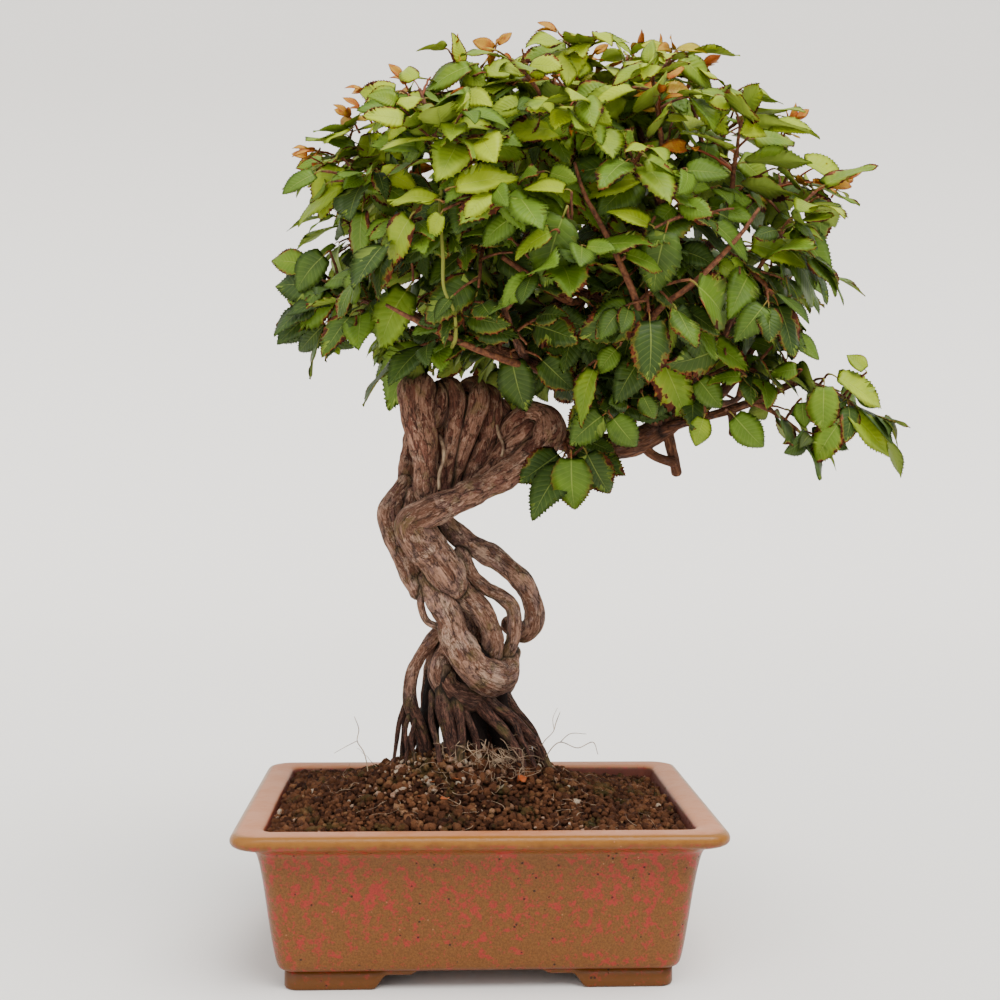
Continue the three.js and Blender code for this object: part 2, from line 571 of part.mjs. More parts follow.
// Whether a point lies within a room of a leaf's blade or stalk.
function nearLeaf(leaf, point, room) {
  const from = point.clone().sub(leaf.foot);
  const along = from.dot(leaf.direction);
  const across = from.dot(leaf.across);
  const share = (along - STALK) / leaf.length;
  if (along < 0 || share > 1 + room / leaf.length) return false;
  const blade = Math.min(1, 0.6 + 2 * share, 2.2 * (1.05 - share));
  const out = share < 0 ? 1 : (LEAF_BREADTH * leaf.length / 2) * blade;
  if (Math.abs(across) > out + room) return false;
  return Math.abs(from.dot(leaf.normal) - leafLift(leaf.length, along, across)) < room;
}

// Leaves stand alternately on both sides of the outer part of a twig, with one at its tip.
// Each tries a few angles, and stays at the first that is clear of limbs, twigs and the leaves before it.
function growLeaves(twigs, limbs) {
  const grown = [];
  const hit = (leaf, probes) => probes.some((p) => nearLeaf(leaf, p, LEAF_ROOM));
  const fits = (leaf, twig) => {
    const probes = leafProbes(leaf);
    const near = grown.filter((other) => other.foot.distanceTo(leaf.foot) < 2 * (STALK + leaf.length));
    const own = (p, other) => other === twig && p.distanceTo(leaf.foot) < TWIG_ROOM;
    return limbs.every((limb) => probes.every((p) => limb.point.distanceTo(p) > limb.radius + LIMB_ROOM)) &&
      near.every((other) => !hit(leaf, other.probes) && !hit(other, probes)) &&
      twigs.every((other) => !hit(leaf, other.line.filter((p) => !own(p, other))));
  };
  twigs.forEach((twig, index) => {
    const draw = draws(9001 + 131 * index);
    draw();
    twig.leaves = [];
    const leafy = twig.curve.getLength() * (LAST_SIDE_LEAF - FIRST_LEAF);
    const sideLeaves = Math.min(Math.round(leafy / LEAF_SPACING), MOST_SIDE_LEAVES);
    for (let k = 0; k <= sideLeaves; k++) {
      const last = k === sideLeaves;
      const place = (k + 0.5 + LEAF_SHIFT * (draw() - 0.5)) / sideLeaves;
      const share = last ? 1 : THREE.MathUtils.lerp(FIRST_LEAF, LAST_SIDE_LEAF, place);
      for (const angle of last ? END_LEAF_ANGLES : LEAF_ANGLES) {
        const leaf = leafPlace(twig, share, k % 2 ? 1 : -1, angle, draw);
        if (fits(leaf, twig)) {
          leaf.probes = leafProbes(leaf);
          grown.push(leaf);
          twig.leaves.push(leaf);
          break;
        }
      }
    }
  });
}

// Leafy stems

// A leafy stem as one closed surface. The twig is three-sided, and each leaf's stalk grows out of one of its
// faces between two near rings. A blade's two faces share its toothed edge and are split alike.
function leafyStem(twig) {
  const points = [];
  const triangles = [];
  const add = (...corners) => triangles.push(...corners);
  const point = (p) => points.push(p) - 1;

  const ring = (share) => {
    const { upper, sideways } = twigAxes(twig, share);
    const radius = THREE.MathUtils.lerp(TWIG_RADIUS[0], TWIG_RADIUS[1], share);
    const middle = twig.curve.getPoint(share);
    return [0, 1, 2].map((k) => {
      const angle = (k * 2 * Math.PI) / 3;
      const offset = upper.clone().multiplyScalar(Math.cos(angle)).addScaledVector(sideways, Math.sin(angle));
      return point(middle.clone().addScaledVector(offset, radius));
    });
  };
  const skin = (a, b, open) => {
    for (const k of [0, 1, 2]) {
      const next = (k + 1) % 3;
      if (k !== open) add(a[k], a[next], b[next], a[k], b[next], b[k]);
    }
  };

  // the neck of a leaf, counter-clockwise about the leaf's direction: one side, top, other side, underside
  const neck = (leaf) => [
    leafPoint(leaf, STALK, STALK_HALF[0], 0), leafPoint(leaf, STALK, 0, STALK_HALF[1]),
    leafPoint(leaf, STALK, -STALK_HALF[0], 0), leafPoint(leaf, STALK, 0, -STALK_HALF[1]),
  ].map(point);
  const stalk = (hole, ends) => {
    const spread = (turn) => hole.reduce((sum, corner, k) =>
      sum + points[corner].distanceTo(points[ends[(k + turn) % 4]]), 0);
    const turn = [0, 1, 2, 3].reduce((best, next) => (spread(next) < spread(best) ? next : best));
    hole.forEach((corner, k) => {
      const [other, from, to] = [hole[(k + 1) % 4], ends[(k + turn) % 4], ends[(k + 1 + turn) % 4]];
      add(corner, other, to, corner, to, from);
    });
  };
  const blade = (leaf, [rightNeck, top, leftNeck, under]) => {
    const half = (LEAF_BREADTH * leaf.length) / 2;
    const at = (share, across, off) => point(leafPoint(leaf, STALK + share * leaf.length, across, off));
    const left = LEAF_EDGE.map(([share, out]) => at(share, -out * half, 0));
    const right = LEAF_EDGE.map(([share, out]) => at(share, out * half, 0)).reverse();
    const edge = [...left, at(1, 0, 0), ...right];
    const face = (neckPoint, middle, turned) => {
      const facing = (a, b, c) => (turned ? add(a, c, b) : add(a, b, c));
      facing(neckPoint, leftNeck, edge[0]);
      facing(neckPoint, edge[0], middle);
      facing(neckPoint, middle, edge[edge.length - 1]);
      facing(neckPoint, edge[edge.length - 1], rightNeck);
      for (let k = 0; k < edge.length - 1; k++) facing(middle, edge[k], edge[k + 1]);
    };
    face(top, at(LEAF_CENTRE, 0, LEAF_MIDDLE), false);
    face(under, at(LEAF_CENTRE, 0, -LEAF_MIDDLE), true);
  };

  const halfNode = NODE_LENGTH / 2 / twig.curve.getLength();
  let before = ring(0);
  add(before[0], before[2], before[1]);
  for (const leaf of twig.leaves.filter(({ share }) => share < 1)) {
    const [low, high] = [ring(leaf.share - halfNode), ring(leaf.share + halfNode)];
    const open = leaf.hand > 0 ? 0 : 2;
    const next = (open + 1) % 3;
    skin(before, low);
    skin(low, high, open);
    const ends = neck(leaf);
    stalk([low[open], low[next], high[next], high[open]], ends);
    blade(leaf, ends);
    before = high;
  }
  const end = ring(1);
  skin(before, end);
  const endLeaf = twig.leaves.find(({ share }) => share === 1);
  if (endLeaf) {
    const [right, top, left, under] = neck(endLeaf);
    add(end[0], end[1], left, end[0], left, top, end[1], end[2], under);
    add(end[1], under, left, end[2], right, under, end[2], end[0], top, end[2], top, right);
    blade(endLeaf, [right, top, left, under]);
  } else {
    add(end[0], end[1], end[2]);
  }
  const geometry = new THREE.BufferGeometry().setFromPoints(points);
  geometry.setIndex(triangles);
  return solidOf(geometry);
}

// Materials

const finish = (color, roughness) =>
  new THREE.MeshStandardMaterial({ color, roughness, metalness: 0 });
const GLAZE = finish(0x9a6440, 0.35);
const SOIL = finish(0x4a3226, 1);
const BARK = finish(0x8d7462, 0.9);
const SCREEN = finish(0x2c2f2c, 0.6);
const LEAVES = [finish(0x4f7d2c, 0.55), finish(0x6b9433, 0.55), finish(0x86a63e, 0.55)];

// Assembly

const model = new THREE.Group();

function place(name, solid, material) {
  const mesh = new THREE.Mesh(geometryOf(solid), material);
  mesh.name = name;
  model.add(mesh);
}

place("pot", pot(), GLAZE);
place("drain_screen_left", drainScreen(-DRAIN_X), SCREEN);
place("drain_screen_right", drainScreen(DRAIN_X), SCREEN);
place("soil", soil(), SOIL);

const crownOfRoots = rootCrown();
place("tree", biggest(wood(0).add(crownOfRoots)), BARK);

const roomForWood = wood(GAP).add(crownOfRoots);
const limbs = limbPoints();
const twigs = growTwigs(limbs);
growLeaves(twigs, limbs);
twigs.forEach((twig, index) => {
  const name = "spray_" + String(index + 1).padStart(2, "0");
  place(name, biggest(leafyStem(twig).subtract(roomForWood)), LEAVES[index % LEAVES.length]);
});

// The part's zero: under the middle of its box, on the surface that it stands on.
const box = new THREE.Box3().setFromObject(model);
model.position.set(-(box.min.x + box.max.x) / 2, -(box.min.y + box.max.y) / 2, -box.min.z);

const part = new THREE.Group();
part.add(model);
export default part;
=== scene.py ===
"""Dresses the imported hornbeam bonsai: glazed pot, granular soil, braided trunk and leafy crown."""

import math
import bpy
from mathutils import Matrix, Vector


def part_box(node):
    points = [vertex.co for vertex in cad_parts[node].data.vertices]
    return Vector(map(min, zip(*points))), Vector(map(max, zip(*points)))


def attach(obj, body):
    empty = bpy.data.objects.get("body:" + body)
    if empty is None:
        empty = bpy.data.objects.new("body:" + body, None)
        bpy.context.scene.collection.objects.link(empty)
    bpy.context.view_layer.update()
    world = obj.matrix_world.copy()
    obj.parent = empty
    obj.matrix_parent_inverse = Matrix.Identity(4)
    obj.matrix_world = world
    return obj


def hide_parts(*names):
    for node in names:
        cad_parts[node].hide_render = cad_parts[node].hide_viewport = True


bl_info = {
    "name": "Hornbeam bonsai in its pot",
    "version": (1, 0, 0),
    "blender": (4, 5, 0),
    "location": "View3D > Sidebar > Bonsai",
    "description": "Glazed pot, granular soil, braided trunk and leafy crown for the packed bonsai",
    "category": "Object",
}

import bpy
import numpy as np
from mathutils import Matrix, Vector
from numpy.linalg import norm

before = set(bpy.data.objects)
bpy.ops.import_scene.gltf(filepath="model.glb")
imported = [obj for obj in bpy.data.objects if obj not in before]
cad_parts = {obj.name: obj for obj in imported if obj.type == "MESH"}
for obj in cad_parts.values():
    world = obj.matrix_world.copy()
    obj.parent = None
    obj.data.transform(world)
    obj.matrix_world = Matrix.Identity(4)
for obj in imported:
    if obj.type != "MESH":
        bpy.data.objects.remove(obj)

# Sizes are millimetres from the pot's middle under its feet, as in the CAD source. MM turns them to metres.
MM = 0.001
POT_LOW, POT_HIGH = (np.array(corner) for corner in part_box("pot"))
ZERO = np.array([*(POT_LOW + POT_HIGH)[:2] / 2, POT_LOW[2]])
UP = np.array([0.0, 0.0, 1.0])

# Pot
RIM_HALF_X, RIM_HALF_Y = (POT_HIGH - POT_LOW)[:2] / MM / 2
POT_HEIGHT = (POT_HIGH[2] - POT_LOW[2]) / MM
FEET_HEIGHT = 11.6
FLOOR_TOP = 19
WALL_TOP_INSET = 20
WALL_BOTTOM_INSET = 32
BODY_INSET = 25
FOOT_INSET = 30.4
FOOT_BREADTH = 17
FOOT_CORNER = 9
LONG_ARM = (55, 80)
SHORT_ARM = (38.5, 56)
FOOT_LIP_LEVEL = 8.8
DRAIN_RADIUS = 12
DRAIN_X = 60

# The pot's section: inset from the rim's edge, level and corner radius, round the wall and back
POT_SECTION = [
    (BODY_INSET + 4, FEET_HEIGHT, 9), (BODY_INSET, FEET_HEIGHT + 4, 12), (BODY_INSET - 9, 84, 13),
    (11, 89.5, 14), (2.5, 92, 15), (0, 94.5, 16), (0, 98, 16), (2.5, POT_HEIGHT, 15),
    (WALL_TOP_INSET - 3, POT_HEIGHT, 9), (WALL_TOP_INSET, POT_HEIGHT - 3, 8),
    (WALL_BOTTOM_INSET, FLOOR_TOP, 7), (WALL_BOTTOM_INSET + 2, FEET_HEIGHT, 7),
]

# Soil
SOIL_EDGE = 94
SOIL_MOUND = 31
MOUND_REACH_X = 82
MOUND_REACH_Y = 62
HEAP = 9

# Wood: routes of [x, y, z, radius], then the shoots' named tips
TRUNK_STEMS = [
    # upper left loop, over its rounded top and down behind
    [[-34, 0, 297, 7.5], [-35, -2, 303, 7.7], [-36, -8, 322, 8.5], [-39, -12, 343, 10], [-42, -12, 358, 12],
     [-42, -7, 369, 12], [-39, 5, 372, 10.5], [-38, 20, 366, 8.5], [-42, 26, 350, 7], [-48, 22, 330, 5.5],
     [-50, 14, 308, 5]],
    # strands inside the upper braid
    [[-29, 4, 348, 3.5], [-26, 2, 357, 4.5], [-25, 2, 366, 4.7], [-28, 8, 373, 4.2]],
    [[-24, 4, 300, 5.5], [-20, 0, 323, 5.7], [-17, -2, 343, 5.9], [-15, -2, 359, 5.9], [-18, 4, 372, 5.9],
     [-24, 14, 374, 5.3], [-30, 22, 366, 5]],
    [[-20, 6, 304, 6], [-11, 0, 333, 6.4], [-5, -2, 349, 7], [-1, -1, 363, 7], [-2, 8, 373, 7],
     [-8, 18, 372, 6.3], [-12, 26, 360, 6]],
    [[-12, 8, 304, 5.7], [-2, 5, 322, 5.9], [5, 5, 338, 5.9], [9, 6, 354, 5.9], [8, 13, 367, 5.8],
     [2, 22, 370, 5.5], [-2, 29, 358, 5.3]],
    # knot on the right, then the stem that crosses in front to the left elbow
    [[19, 5, 334, 8], [24, 6, 347, 9.5], [31, 6, 352, 10], [38, 3, 354, 10], [45, -3, 350, 10],
     [45, -7, 340, 10], [36, -10, 328, 10], [14, -14, 312, 9], [-12, -18, 299, 9], [-34, -20, 289, 9.5],
     [-44, -17, 281, 9.5]],
    # elbow down to a blunt end
    [[-42, -18, 281, 10], [-31, -17, 262, 12], [-22, -15, 249, 12], [-17, -10, 241, 9]],
    # outer left stem
    [[-50, 10, 308, 5.5], [-56, 4, 298, 7], [-60, 2, 288, 8], [-57, 0, 275, 8], [-48, -2, 255, 7.5],
     [-40, -6, 238, 7.5]],
    # front stem, down and round at the bottom and up behind
    [[-33, -9, 244, 8], [-25, -13, 229, 9], [-20, -15, 219, 9], [-17, -16, 209, 10], [-11, -18, 198, 11],
     [-4, -17, 188, 12], [6, -13, 181, 12], [15, -3, 180, 10.5], [20, 8, 185, 8.5], [22, 18, 193, 7.5]],
    # stem behind the front one
    [[-16, -4, 241, 9], [-9, -4, 233, 8.5], [-1, -5, 227, 8], [5, -6, 218, 8], [9, -5, 208, 8],
     [9, 0, 196, 7.5], [8, 7, 185, 6.5]],
    # thin inner stem of the right loops
    [[-12, 5, 262, 5.5], [-4, 3, 246, 5.3], [5, 2, 238, 5], [15, 2, 233, 5], [22, 2, 226, 5],
     [24, 2, 215, 5.2], [23, 4, 204, 5], [18, 9, 190, 4.5]],
    # outer right loop
    [[-25, 4, 284, 7], [-11, 8, 271, 7], [-1, 8, 265, 7.5], [10, 8, 259, 7], [21, 8, 251, 7],
     [30, 8, 242, 7], [35, 8, 233, 7], [38, 8, 223, 7], [37, 12, 213, 7], [31, 20, 207, 6.8],
     [22, 24, 212, 6.2]],
    # small loop in front of the outer left stem
    [[-33, -13, 249, 2.5], [-38, -12, 238, 2.5], [-38, -10, 226, 2.5], [-34, -9, 217, 2.5],
     [-25, -9, 213, 2.4]],
    # bundle behind, which joins the braid to the root base
    [[-28, 8, 300, 9], [-34, 6, 280, 9], [-30, 6, 258, 9], [-18, 8, 238, 9], [-4, 12, 215, 9],
     [0, 12, 192, 10]],
]

ROOTS = [
    [[-16, -4, 203, 7], [-22, 0, 194, 8], [-25, -5, 183, 9], [-20, -9, 172, 9.5], [-10, -8, 167, 9],
     [2, 0, 167, 8], [11, 6, 170, 7]],
    [[-22, -8, 168, 6], [-19, -8, 150, 4.6], [-20, -8, 118, 4.4]],
    [[-20, 4, 214, 5], [-30, 1, 205, 4.8], [-37, -1, 196, 4.6], [-44, -4, 182, 4.5], [-45, -4, 163, 4.6],
     [-39, -4, 147, 4.8], [-34, -4, 132, 5], [-32, -4, 118, 5]],
    [[-24, 8, 206, 4.2], [-33, 8, 181, 4], [-34, 8, 154, 4], [-28, 8, 118, 4]],
    [[-44, 0, 176, 2.4], [-47, 2, 160, 2], [-49, 2, 146, 1.8], [-50, 2, 132, 1.7], [-50, 2, 114, 1.7]],
    [[8, 2, 170, 4], [15, 4, 161, 2.8], [28, 4, 148, 2.5], [38, 3, 135, 2.5], [42, 2, 114, 2.5]],
    [[2, 8, 168, 6], [10, 10, 152, 4.6], [20, 10, 144, 4.5], [28, 8, 136, 4.2], [32, 6, 114, 4]],
    [[22, 14, 196, 5], [23, 18, 184, 4.6], [22, 17, 174, 4.5], [14, 12, 163, 4.5], [8, 10, 150, 4.5],
     [12, 14, 116, 4.5]],
    [[-12, -8, 170, 4.5], [-8, -12, 156, 3], [-2, -14, 141, 2.7], [0, -15, 116, 2.6]],
    [[-4, 6, 172, 8], [-8, 14, 152, 6], [-14, 20, 136, 5], [-20, 24, 114, 5]],
    [[-20, 8, 176, 6], [-26, 16, 152, 4.5], [-36, 20, 134, 4], [-40, 18, 114, 4]],
    [[-2, 0, 190, 12], [-4, 0, 168, 12], [-6, 2, 146, 12], [-8, 2, 116, 16]],
]

LIMBS = [
    [[40, 0, 342, 9], [62, 4, 337, 9], [85, 2, 333, 9], [107, 0, 338, 9], [126, 0, 351, 9],
     [139, 1, 368, 9], [146, 2, 390, 8.5], [145, 2, 415, 8], [139, 2, 440, 7], [130, 6, 470, 6],
     [119, 5, 505, 4.5], [104, 2, 545, 2.6]],
    [[143, 0, 404, 6], [124, -10, 412, 5], [100, -15, 419, 4.4], [70, -18, 431, 4], [24, -16, 456, 3.6],
     [0, -12, 474, 3.2], [-30, -6, 494, 2.6], [-58, 0, 508, 1.9]],
    [[98, 0, 336, 6], [84, -16, 352, 4.4], [60, -26, 374, 3.6], [20, -31, 391, 3.2], [-24, -30, 405, 2.8],
     [-50, -29, 418, 2.4], [-72, -26, 416, 1.8]],
    [[120, -2, 346, 5.5], [111, -14, 362, 4], [104, -24, 392, 3.2], [98, -30, 422, 2.8],
     [87, -36, 450, 2.5], [75, -42, 478, 2.1], [62, -46, 506, 1.7]],
    [[101, -26, 408, 3.2], [118, -38, 436, 2.9], [144, -45, 462, 2.6], [166, -48, 486, 1.9]],
    [[116, -3, 343, 5], [136, -14, 350, 3.2], [160, -22, 357, 2.9], [184, -26, 366, 2.6],
     [208, -28, 376, 2.2], [226, -28, 372, 1.8]],
    [[137, 2, 366, 5.5], [158, 4, 368, 4], [176, 6, 388, 3.4], [187, 4, 412, 2.7], [194, 2, 436, 1.9]],
    [[55, -17, 437, 3.4], [46, 6, 424, 3.2], [40, 30, 430, 3], [28, 58, 440, 2.5], [14, 84, 446, 1.8]],
    [[100, 5, 337, 6], [98, 28, 350, 4.4], [89, 52, 376, 3.4], [79, 72, 399, 2.7], [73, 84, 422, 1.9]],
    [[145, 4, 400, 6], [156, 22, 413, 4], [170, 42, 427, 3.1], [182, 58, 444, 1.9]],
    [[134, 5, 455, 5], [122, 32, 472, 3.6], [109, 56, 493, 2.8], [98, 70, 514, 1.9]],
    [[6, -13, 470, 3], [-6, 20, 480, 2.7], [-26, 44, 487, 2.3], [-46, 58, 490, 1.8]],
    [[30, -17, 454, 3.2], [8, -46, 466, 2.6], [-14, -66, 479, 2.2], [-26, -74, 490, 1.8]],
    [[134, -2, 362, 5], [141, -26, 377, 3.6], [149, -50, 396, 2.8], [157, -68, 418, 1.8]],
    [[28, -31, 389, 3], [22, -54, 395, 2.6], [16, -72, 404, 2.2], [11, -82, 416, 1.8]],
    [[90, -35, 444, 2.6], [98, -56, 460, 2.3], [106, -72, 476, 2], [112, -80, 490, 1.7]],
    [[-2, -12, 476, 3], [-10, -6, 503, 2.5], [-14, -2, 524, 2], [-15, 0, 540, 1.7]],
    [[121, 5, 498, 4], [140, 8, 518, 2.8], [151, 6, 536, 1.9]],
    [[112, 3, 524, 3.4], [84, -10, 544, 2.4], [58, -16, 562, 1.7]],
    [[40, 20, 426, 2.8], [10, 29, 413, 2.5], [-22, 37, 411, 2.1], [-46, 40, 415, 1.8]],
    [[150, 5, 367, 3.6], [165, 24, 364, 2.8], [180, 40, 368, 2.3], [190, 47, 377, 1.8]],
]

PEGS = [
    [[124, 0, 350, 4.2], [127, 0, 338, 3.6], [132, 0, 317, 3.4]],
    [[108, 0, 336, 3.6], [116, -2, 328, 3.2], [129, -4, 323, 3]],
    [[164, -22, 358, 3.2], [165, -22, 350, 3], [165, -22, 343, 2.8]],
]

NAMED_TIPS = [
    [256, -24, 352], [-14, -14, 574], [97, -6, 588], [136, 4, 576], [-98, -8, 520], [58, -34, 318],
    [-46, -44, 392], [210, -12, 510], [-96, -14, 428], [210, -34, 340],
]

# Strands that close the braid behind its front stems, and roots that fan out of the root ball
INNER_STEMS = [
    [[-29, 6, 300, 6], [-28, 7, 325, 6], [-28, 9, 350, 6], [-28, 12, 364, 5]],
    [[-16, 9, 302, 6], [-11, 8, 325, 6.5], [-8, 8, 348, 6.5], [-9, 14, 366, 5.5]],
    [[-10, 12, 304, 6], [1, 12, 328, 6.5], [3, 13, 350, 6.5], [3, 18, 365, 5.5]],
    [[-2, 4, 308, 6.5], [10, 4, 320, 8], [20, 2, 331, 10], [30, 1, 341, 9.5], [38, 2, 349, 8]],
    [[-6, 10, 306, 6], [8, 9, 322, 7], [17, 8, 336, 6], [19, 8, 350, 4.6], [14, 12, 362, 4]],
    [[-44, 4, 300, 6], [-46, 4, 288, 7], [-44, 2, 272, 7], [-36, 2, 256, 7], [-30, 2, 244, 6]],
    [[-31, 10, 304, 6], [-30, 12, 330, 6.5], [-27, 14, 352, 6], [-25, 18, 362, 5]],
]
ELBOW = [
    [-22, -19, 295, 9.4], [-35, -20.5, 288.5, 10.4], [-45, -19, 281, 10.8], [-42, -19, 272, 11.2],
    [-34, -18, 264, 11.8],
]
# Stems inside the root ball, coloured near black as painted shade (kind 3)
SHADED_ROOT_CORE = [
    [[-8, 3, 182, 13], [-9, 4, 156, 14], [-8, 3, 134, 16], [-6, 2, 108, 20]],
    [[12, 8, 176, 7], [15, 7, 156, 8], [18, 6, 136, 8], [20, 4, 108, 10]],
    [[-27, 5, 184, 6], [-31, 7, 160, 7], [-33, 7, 136, 7], [-34, 5, 108, 8]],
]
SIDE_ROOTS = [
    [[-22, -10, 186, 4], [-24, -13, 173, 5], [-22, -15, 158, 6], [-18, -17, 142, 5], [-16, -20, 126, 4],
     [-15, -22, 112, 4]],
    [[-18, -12, 172, 4], [-13, -17, 158, 3.8], [-11, -21, 143, 3], [-12, -26, 128, 2.6],
     [-11, -31, 112, 2]],
    [[3, -4, 168, 4.4], [13, -5, 159, 4.4], [23, -5, 152, 4], [32, -6, 143, 3.6], [41, -8, 133, 3],
     [48, -10, 118, 2.6]],
    [[-2, -8, 166, 4.6], [7, -11, 155, 4], [17, -13, 145, 3.5], [25, -17, 134, 3], [31, -22, 118, 2.4]],
    [[-30, -7, 170, 2.6], [-31, -12, 152, 2.3], [-27, -19, 138, 2], [-24, -27, 118, 1.6]],
    [[-46, -2, 168, 2], [-52, -3, 150, 1.6], [-54, -4, 136, 1.4], [-57, -6, 114, 1.2]],
    [[-44, -6, 160, 1.8], [-48, -8, 146, 1.5], [-47, -10, 132, 1.3], [-50, -13, 114, 1.1]],
    [[-42, -8, 152, 1.6], [-44, -11, 140, 1.4], [-42, -13, 128, 1.2], [-43, -16, 114, 1]],
    [[10, -2, 160, 2], [24, -10, 150, 1.8], [29, -16, 140, 1.5], [40, -20, 118, 1.2]],
    [[12, 8, 172, 5], [24, 8, 156, 4.4], [36, 8, 142, 3.6], [46, 10, 118, 3]],
    [[-24, 12, 180, 5], [-34, 19, 156, 4.4], [-43, 25, 134, 3.8], [-52, 30, 112, 3]],
    [[-10, 16, 178, 5], [-14, 24, 154, 4], [-12, 31, 134, 3.4], [-18, 37, 112, 2.8]],
    [[0, 15, 180, 6], [4, 22, 156, 5], [6, 28, 134, 4], [4, 36, 112, 3]],
    [[12, 14, 178, 5], [24, 19, 154, 4.4], [32, 24, 134, 3.6], [40, 30, 112, 2.8]],
    [[8, 16, 168, 3], [16, 26, 148, 2.4], [18, 34, 132, 2], [26, 42, 112, 1.6]],
]

# Listed leaves: the foot's and the tip's place in the front view in thousandths of its width, y with
# 0 for the crown's front, then in hundredths how far the upper side faces right and up, half width over
# length, tone and scorch
# The tone column sets each leaf's painted light and shade, as Crown.tone does for the others
SHOWN_LEAVES = [
    (430, 336, 377, 403, 2, -20, 30, 36, 42, 0), (430, 204, 377, 189, 0, 10, 90, 36, 87, 0),
    (432, 192, 501, 168, 0, -10, 90, 33, 87, 0), (430, 212, 414, 241, 0, 0, 30, 34, 77, 0),
    (543, 229, 496, 249, 0, -10, 80, 36, 62, 30), (406, 283, 363, 344, -66, -10, 40, 36, 57, 10),
    (505, 352, 517, 412, -48, -10, 25, 37, 3, 0), (567, 449, 568, 510, -46, 0, 20, 41, 29, 20),
    (580, 446, 606, 495, -38, -10, 30, 38, 0, 100), (645, 336, 691, 421, -62, 30, 30, 27, 57, 100),
    (603, 410, 562, 440, -62, 10, 20, 41, 17, 0), (603, 412, 631, 447, -64, -10, 20, 41, 22, 0),
    (636, 391, 650, 418, -60, 0, 20, 41, 17, 50), (592, 358, 562, 421, -68, -80, 30, 24, 57, 80),
    (531, 355, 569, 389, -50, 0, 30, 41, 2, 60), (613, 344, 589, 369, -72, 0, 30, 41, 37, 0),
    (690, 373, 719, 406, -58, 0, 30, 40, 22, 0), (701, 411, 692, 444, -58, 20, 20, 41, 62, 10),
    (726, 409, 762, 447, -58, -20, 30, 36, 37, 10), (799, 366, 766, 367, -60, 0, 60, 41, 47, 30),
    (785, 330, 823, 351, -52, 20, 90, 36, 47, 10), (828, 370, 892, 397, -42, 10, 90, 30, 87, 0),
    (868, 368, 851, 348, -38, 0, 30, 41, 77, 20), (822, 375, 823, 430, -58, 10, 15, 38, 47, 30),
    (842, 415, 812, 457, -52, -10, 20, 36, 52, 80), (841, 402, 902, 448, -44, 30, 70, 27, 72, 0),
    (856, 384, 884, 402, -30, 0, 40, 41, 42, 10), (800, 395, 804, 425, -50, 0, 20, 41, 32, 0),
    (742, 374, 703, 372, -66, 0, 90, 36, 47, 60), (688, 332, 752, 361, -70, 10, 90, 30, 47, 50),
    (327, 254, 287, 289, -24, -20, 30, 41, 17, 10), (338, 293, 288, 326, -30, 0, 50, 34, 47, 70),
    (338, 162, 308, 218, -34, -10, 30, 34, 72, 50), (403, 213, 368, 265, 0, -20, 40, 34, 72, 90),
    (358, 204, 344, 276, -60, -70, 30, 24, 37, 100), (553, 205, 523, 285, 0, 0, 25, 36, 22, 0),
    (507, 213, 463, 238, 0, 0, 50, 41, 27, 10), (456, 259, 447, 333, -70, 0, 15, 40, 2, 0),
    (473, 66, 412, 84, -28, 0, 90, 36, 52, 40), (471, 77, 530, 61, -30, 0, 80, 30, 77, 10),
    (391, 105, 437, 97, -34, 0, 90, 30, 87, 30), (557, 191, 510, 178, 0, 0, 90, 34, 87, 10),
    (671, 49, 711, 82, -26, 0, 70, 36, 62, 20), (793, 154, 851, 168, -34, 20, 90, 34, 87, 0),
    (807, 176, 828, 237, -34, 40, 20, 34, 32, 80), (784, 217, 838, 266, -38, 20, 50, 32, 37, 0),
    (626, 150, 674, 192, 0, 10, 70, 34, 62, 0), (701, 133, 691, 184, -66, 0, 30, 38, 27, 0),
    (655, 219, 637, 292, 0, 0, 20, 36, 12, 10), (678, 277, 737, 320, 0, 0, 50, 38, 42, 70),
    (605, 251, 657, 262, 0, 0, 80, 34, 47, 50), (734, 238, 811, 252, -78, 0, 80, 26, 67, 0),
    (703, 257, 753, 282, -84, 0, 50, 34, 57, 10), (728, 151, 768, 179, -60, 0, 60, 40, 62, 0),
    (641, 226, 599, 200, 0, 0, 90, 34, 82, 0),
]
# Tips of further shoots, mostly along the crown's underside
LOW_TIPS = [
    (92, -45, 360), (119, -52, 364), (70, -42, 374), (100, -58, 386), (150, -60, 392), (236, -30, 362),
    (-124, -20, 460), (-122, -14, 420), (-112, -44, 440), (-102, -52, 498), (-88, -58, 412),
    (-104, -30, 396), (-74, -76, 432), (-16, -80, 410), (30, -86, 384), (120, -84, 410), (180, -64, 402),
    (196, -30, 388), (20, 40, 380), (-60, 50, 396), (100, 60, 370), (160, 60, 372),
]
# Young shoots past the crown's outside: start and tip
YOUNG_SHOOTS = [
    ((-94, -8, 517), (-127, -12, 531)), ((-84, -6, 500), (-112, -14, 519)),
    ((-14, -14, 574), (-17, -16, 598)), ((-12, -12, 560), (8, -16, 592)),
    ((192, -10, 528), (206, -12, 549)), ((97, -6, 586), (104, -8, 604)), ((60, -8, 574), (72, -10, 590)),
    ((-60, -20, 545), (-78, -24, 560)), ((136, 4, 574), (150, 2, 592)),
    ((232, -10, 500), (248, -12, 520)), ((-80, -14, 535), (-92, -20, 553)),
    ((-66, -24, 530), (-78, -32, 546)), ((-44, -10, 552), (-52, -14, 570)),
    ((30, -52, 524), (37, -62, 545)), ((56, -84, 472), (62, -97, 490)), ((50, -72, 500), (54, -84, 518)),
    ((108, -6, 570), (113, -8, 592)), ((196, -8, 536), (204, -12, 555)),
]
HANGING_SHOOT = [
    [-21, -82, 509, 1], [-25, -92, 493, 1.1], [-28, -99, 474, 1.1], [-27, -102, 456, 1.1],
    [-26, -103, 443, 1.2], [-25, -102, 423, 1], [-19, -98, 410, 1], [-18, -92, 397, 1.2],
    [-20, -74, 392, 1.4],
]
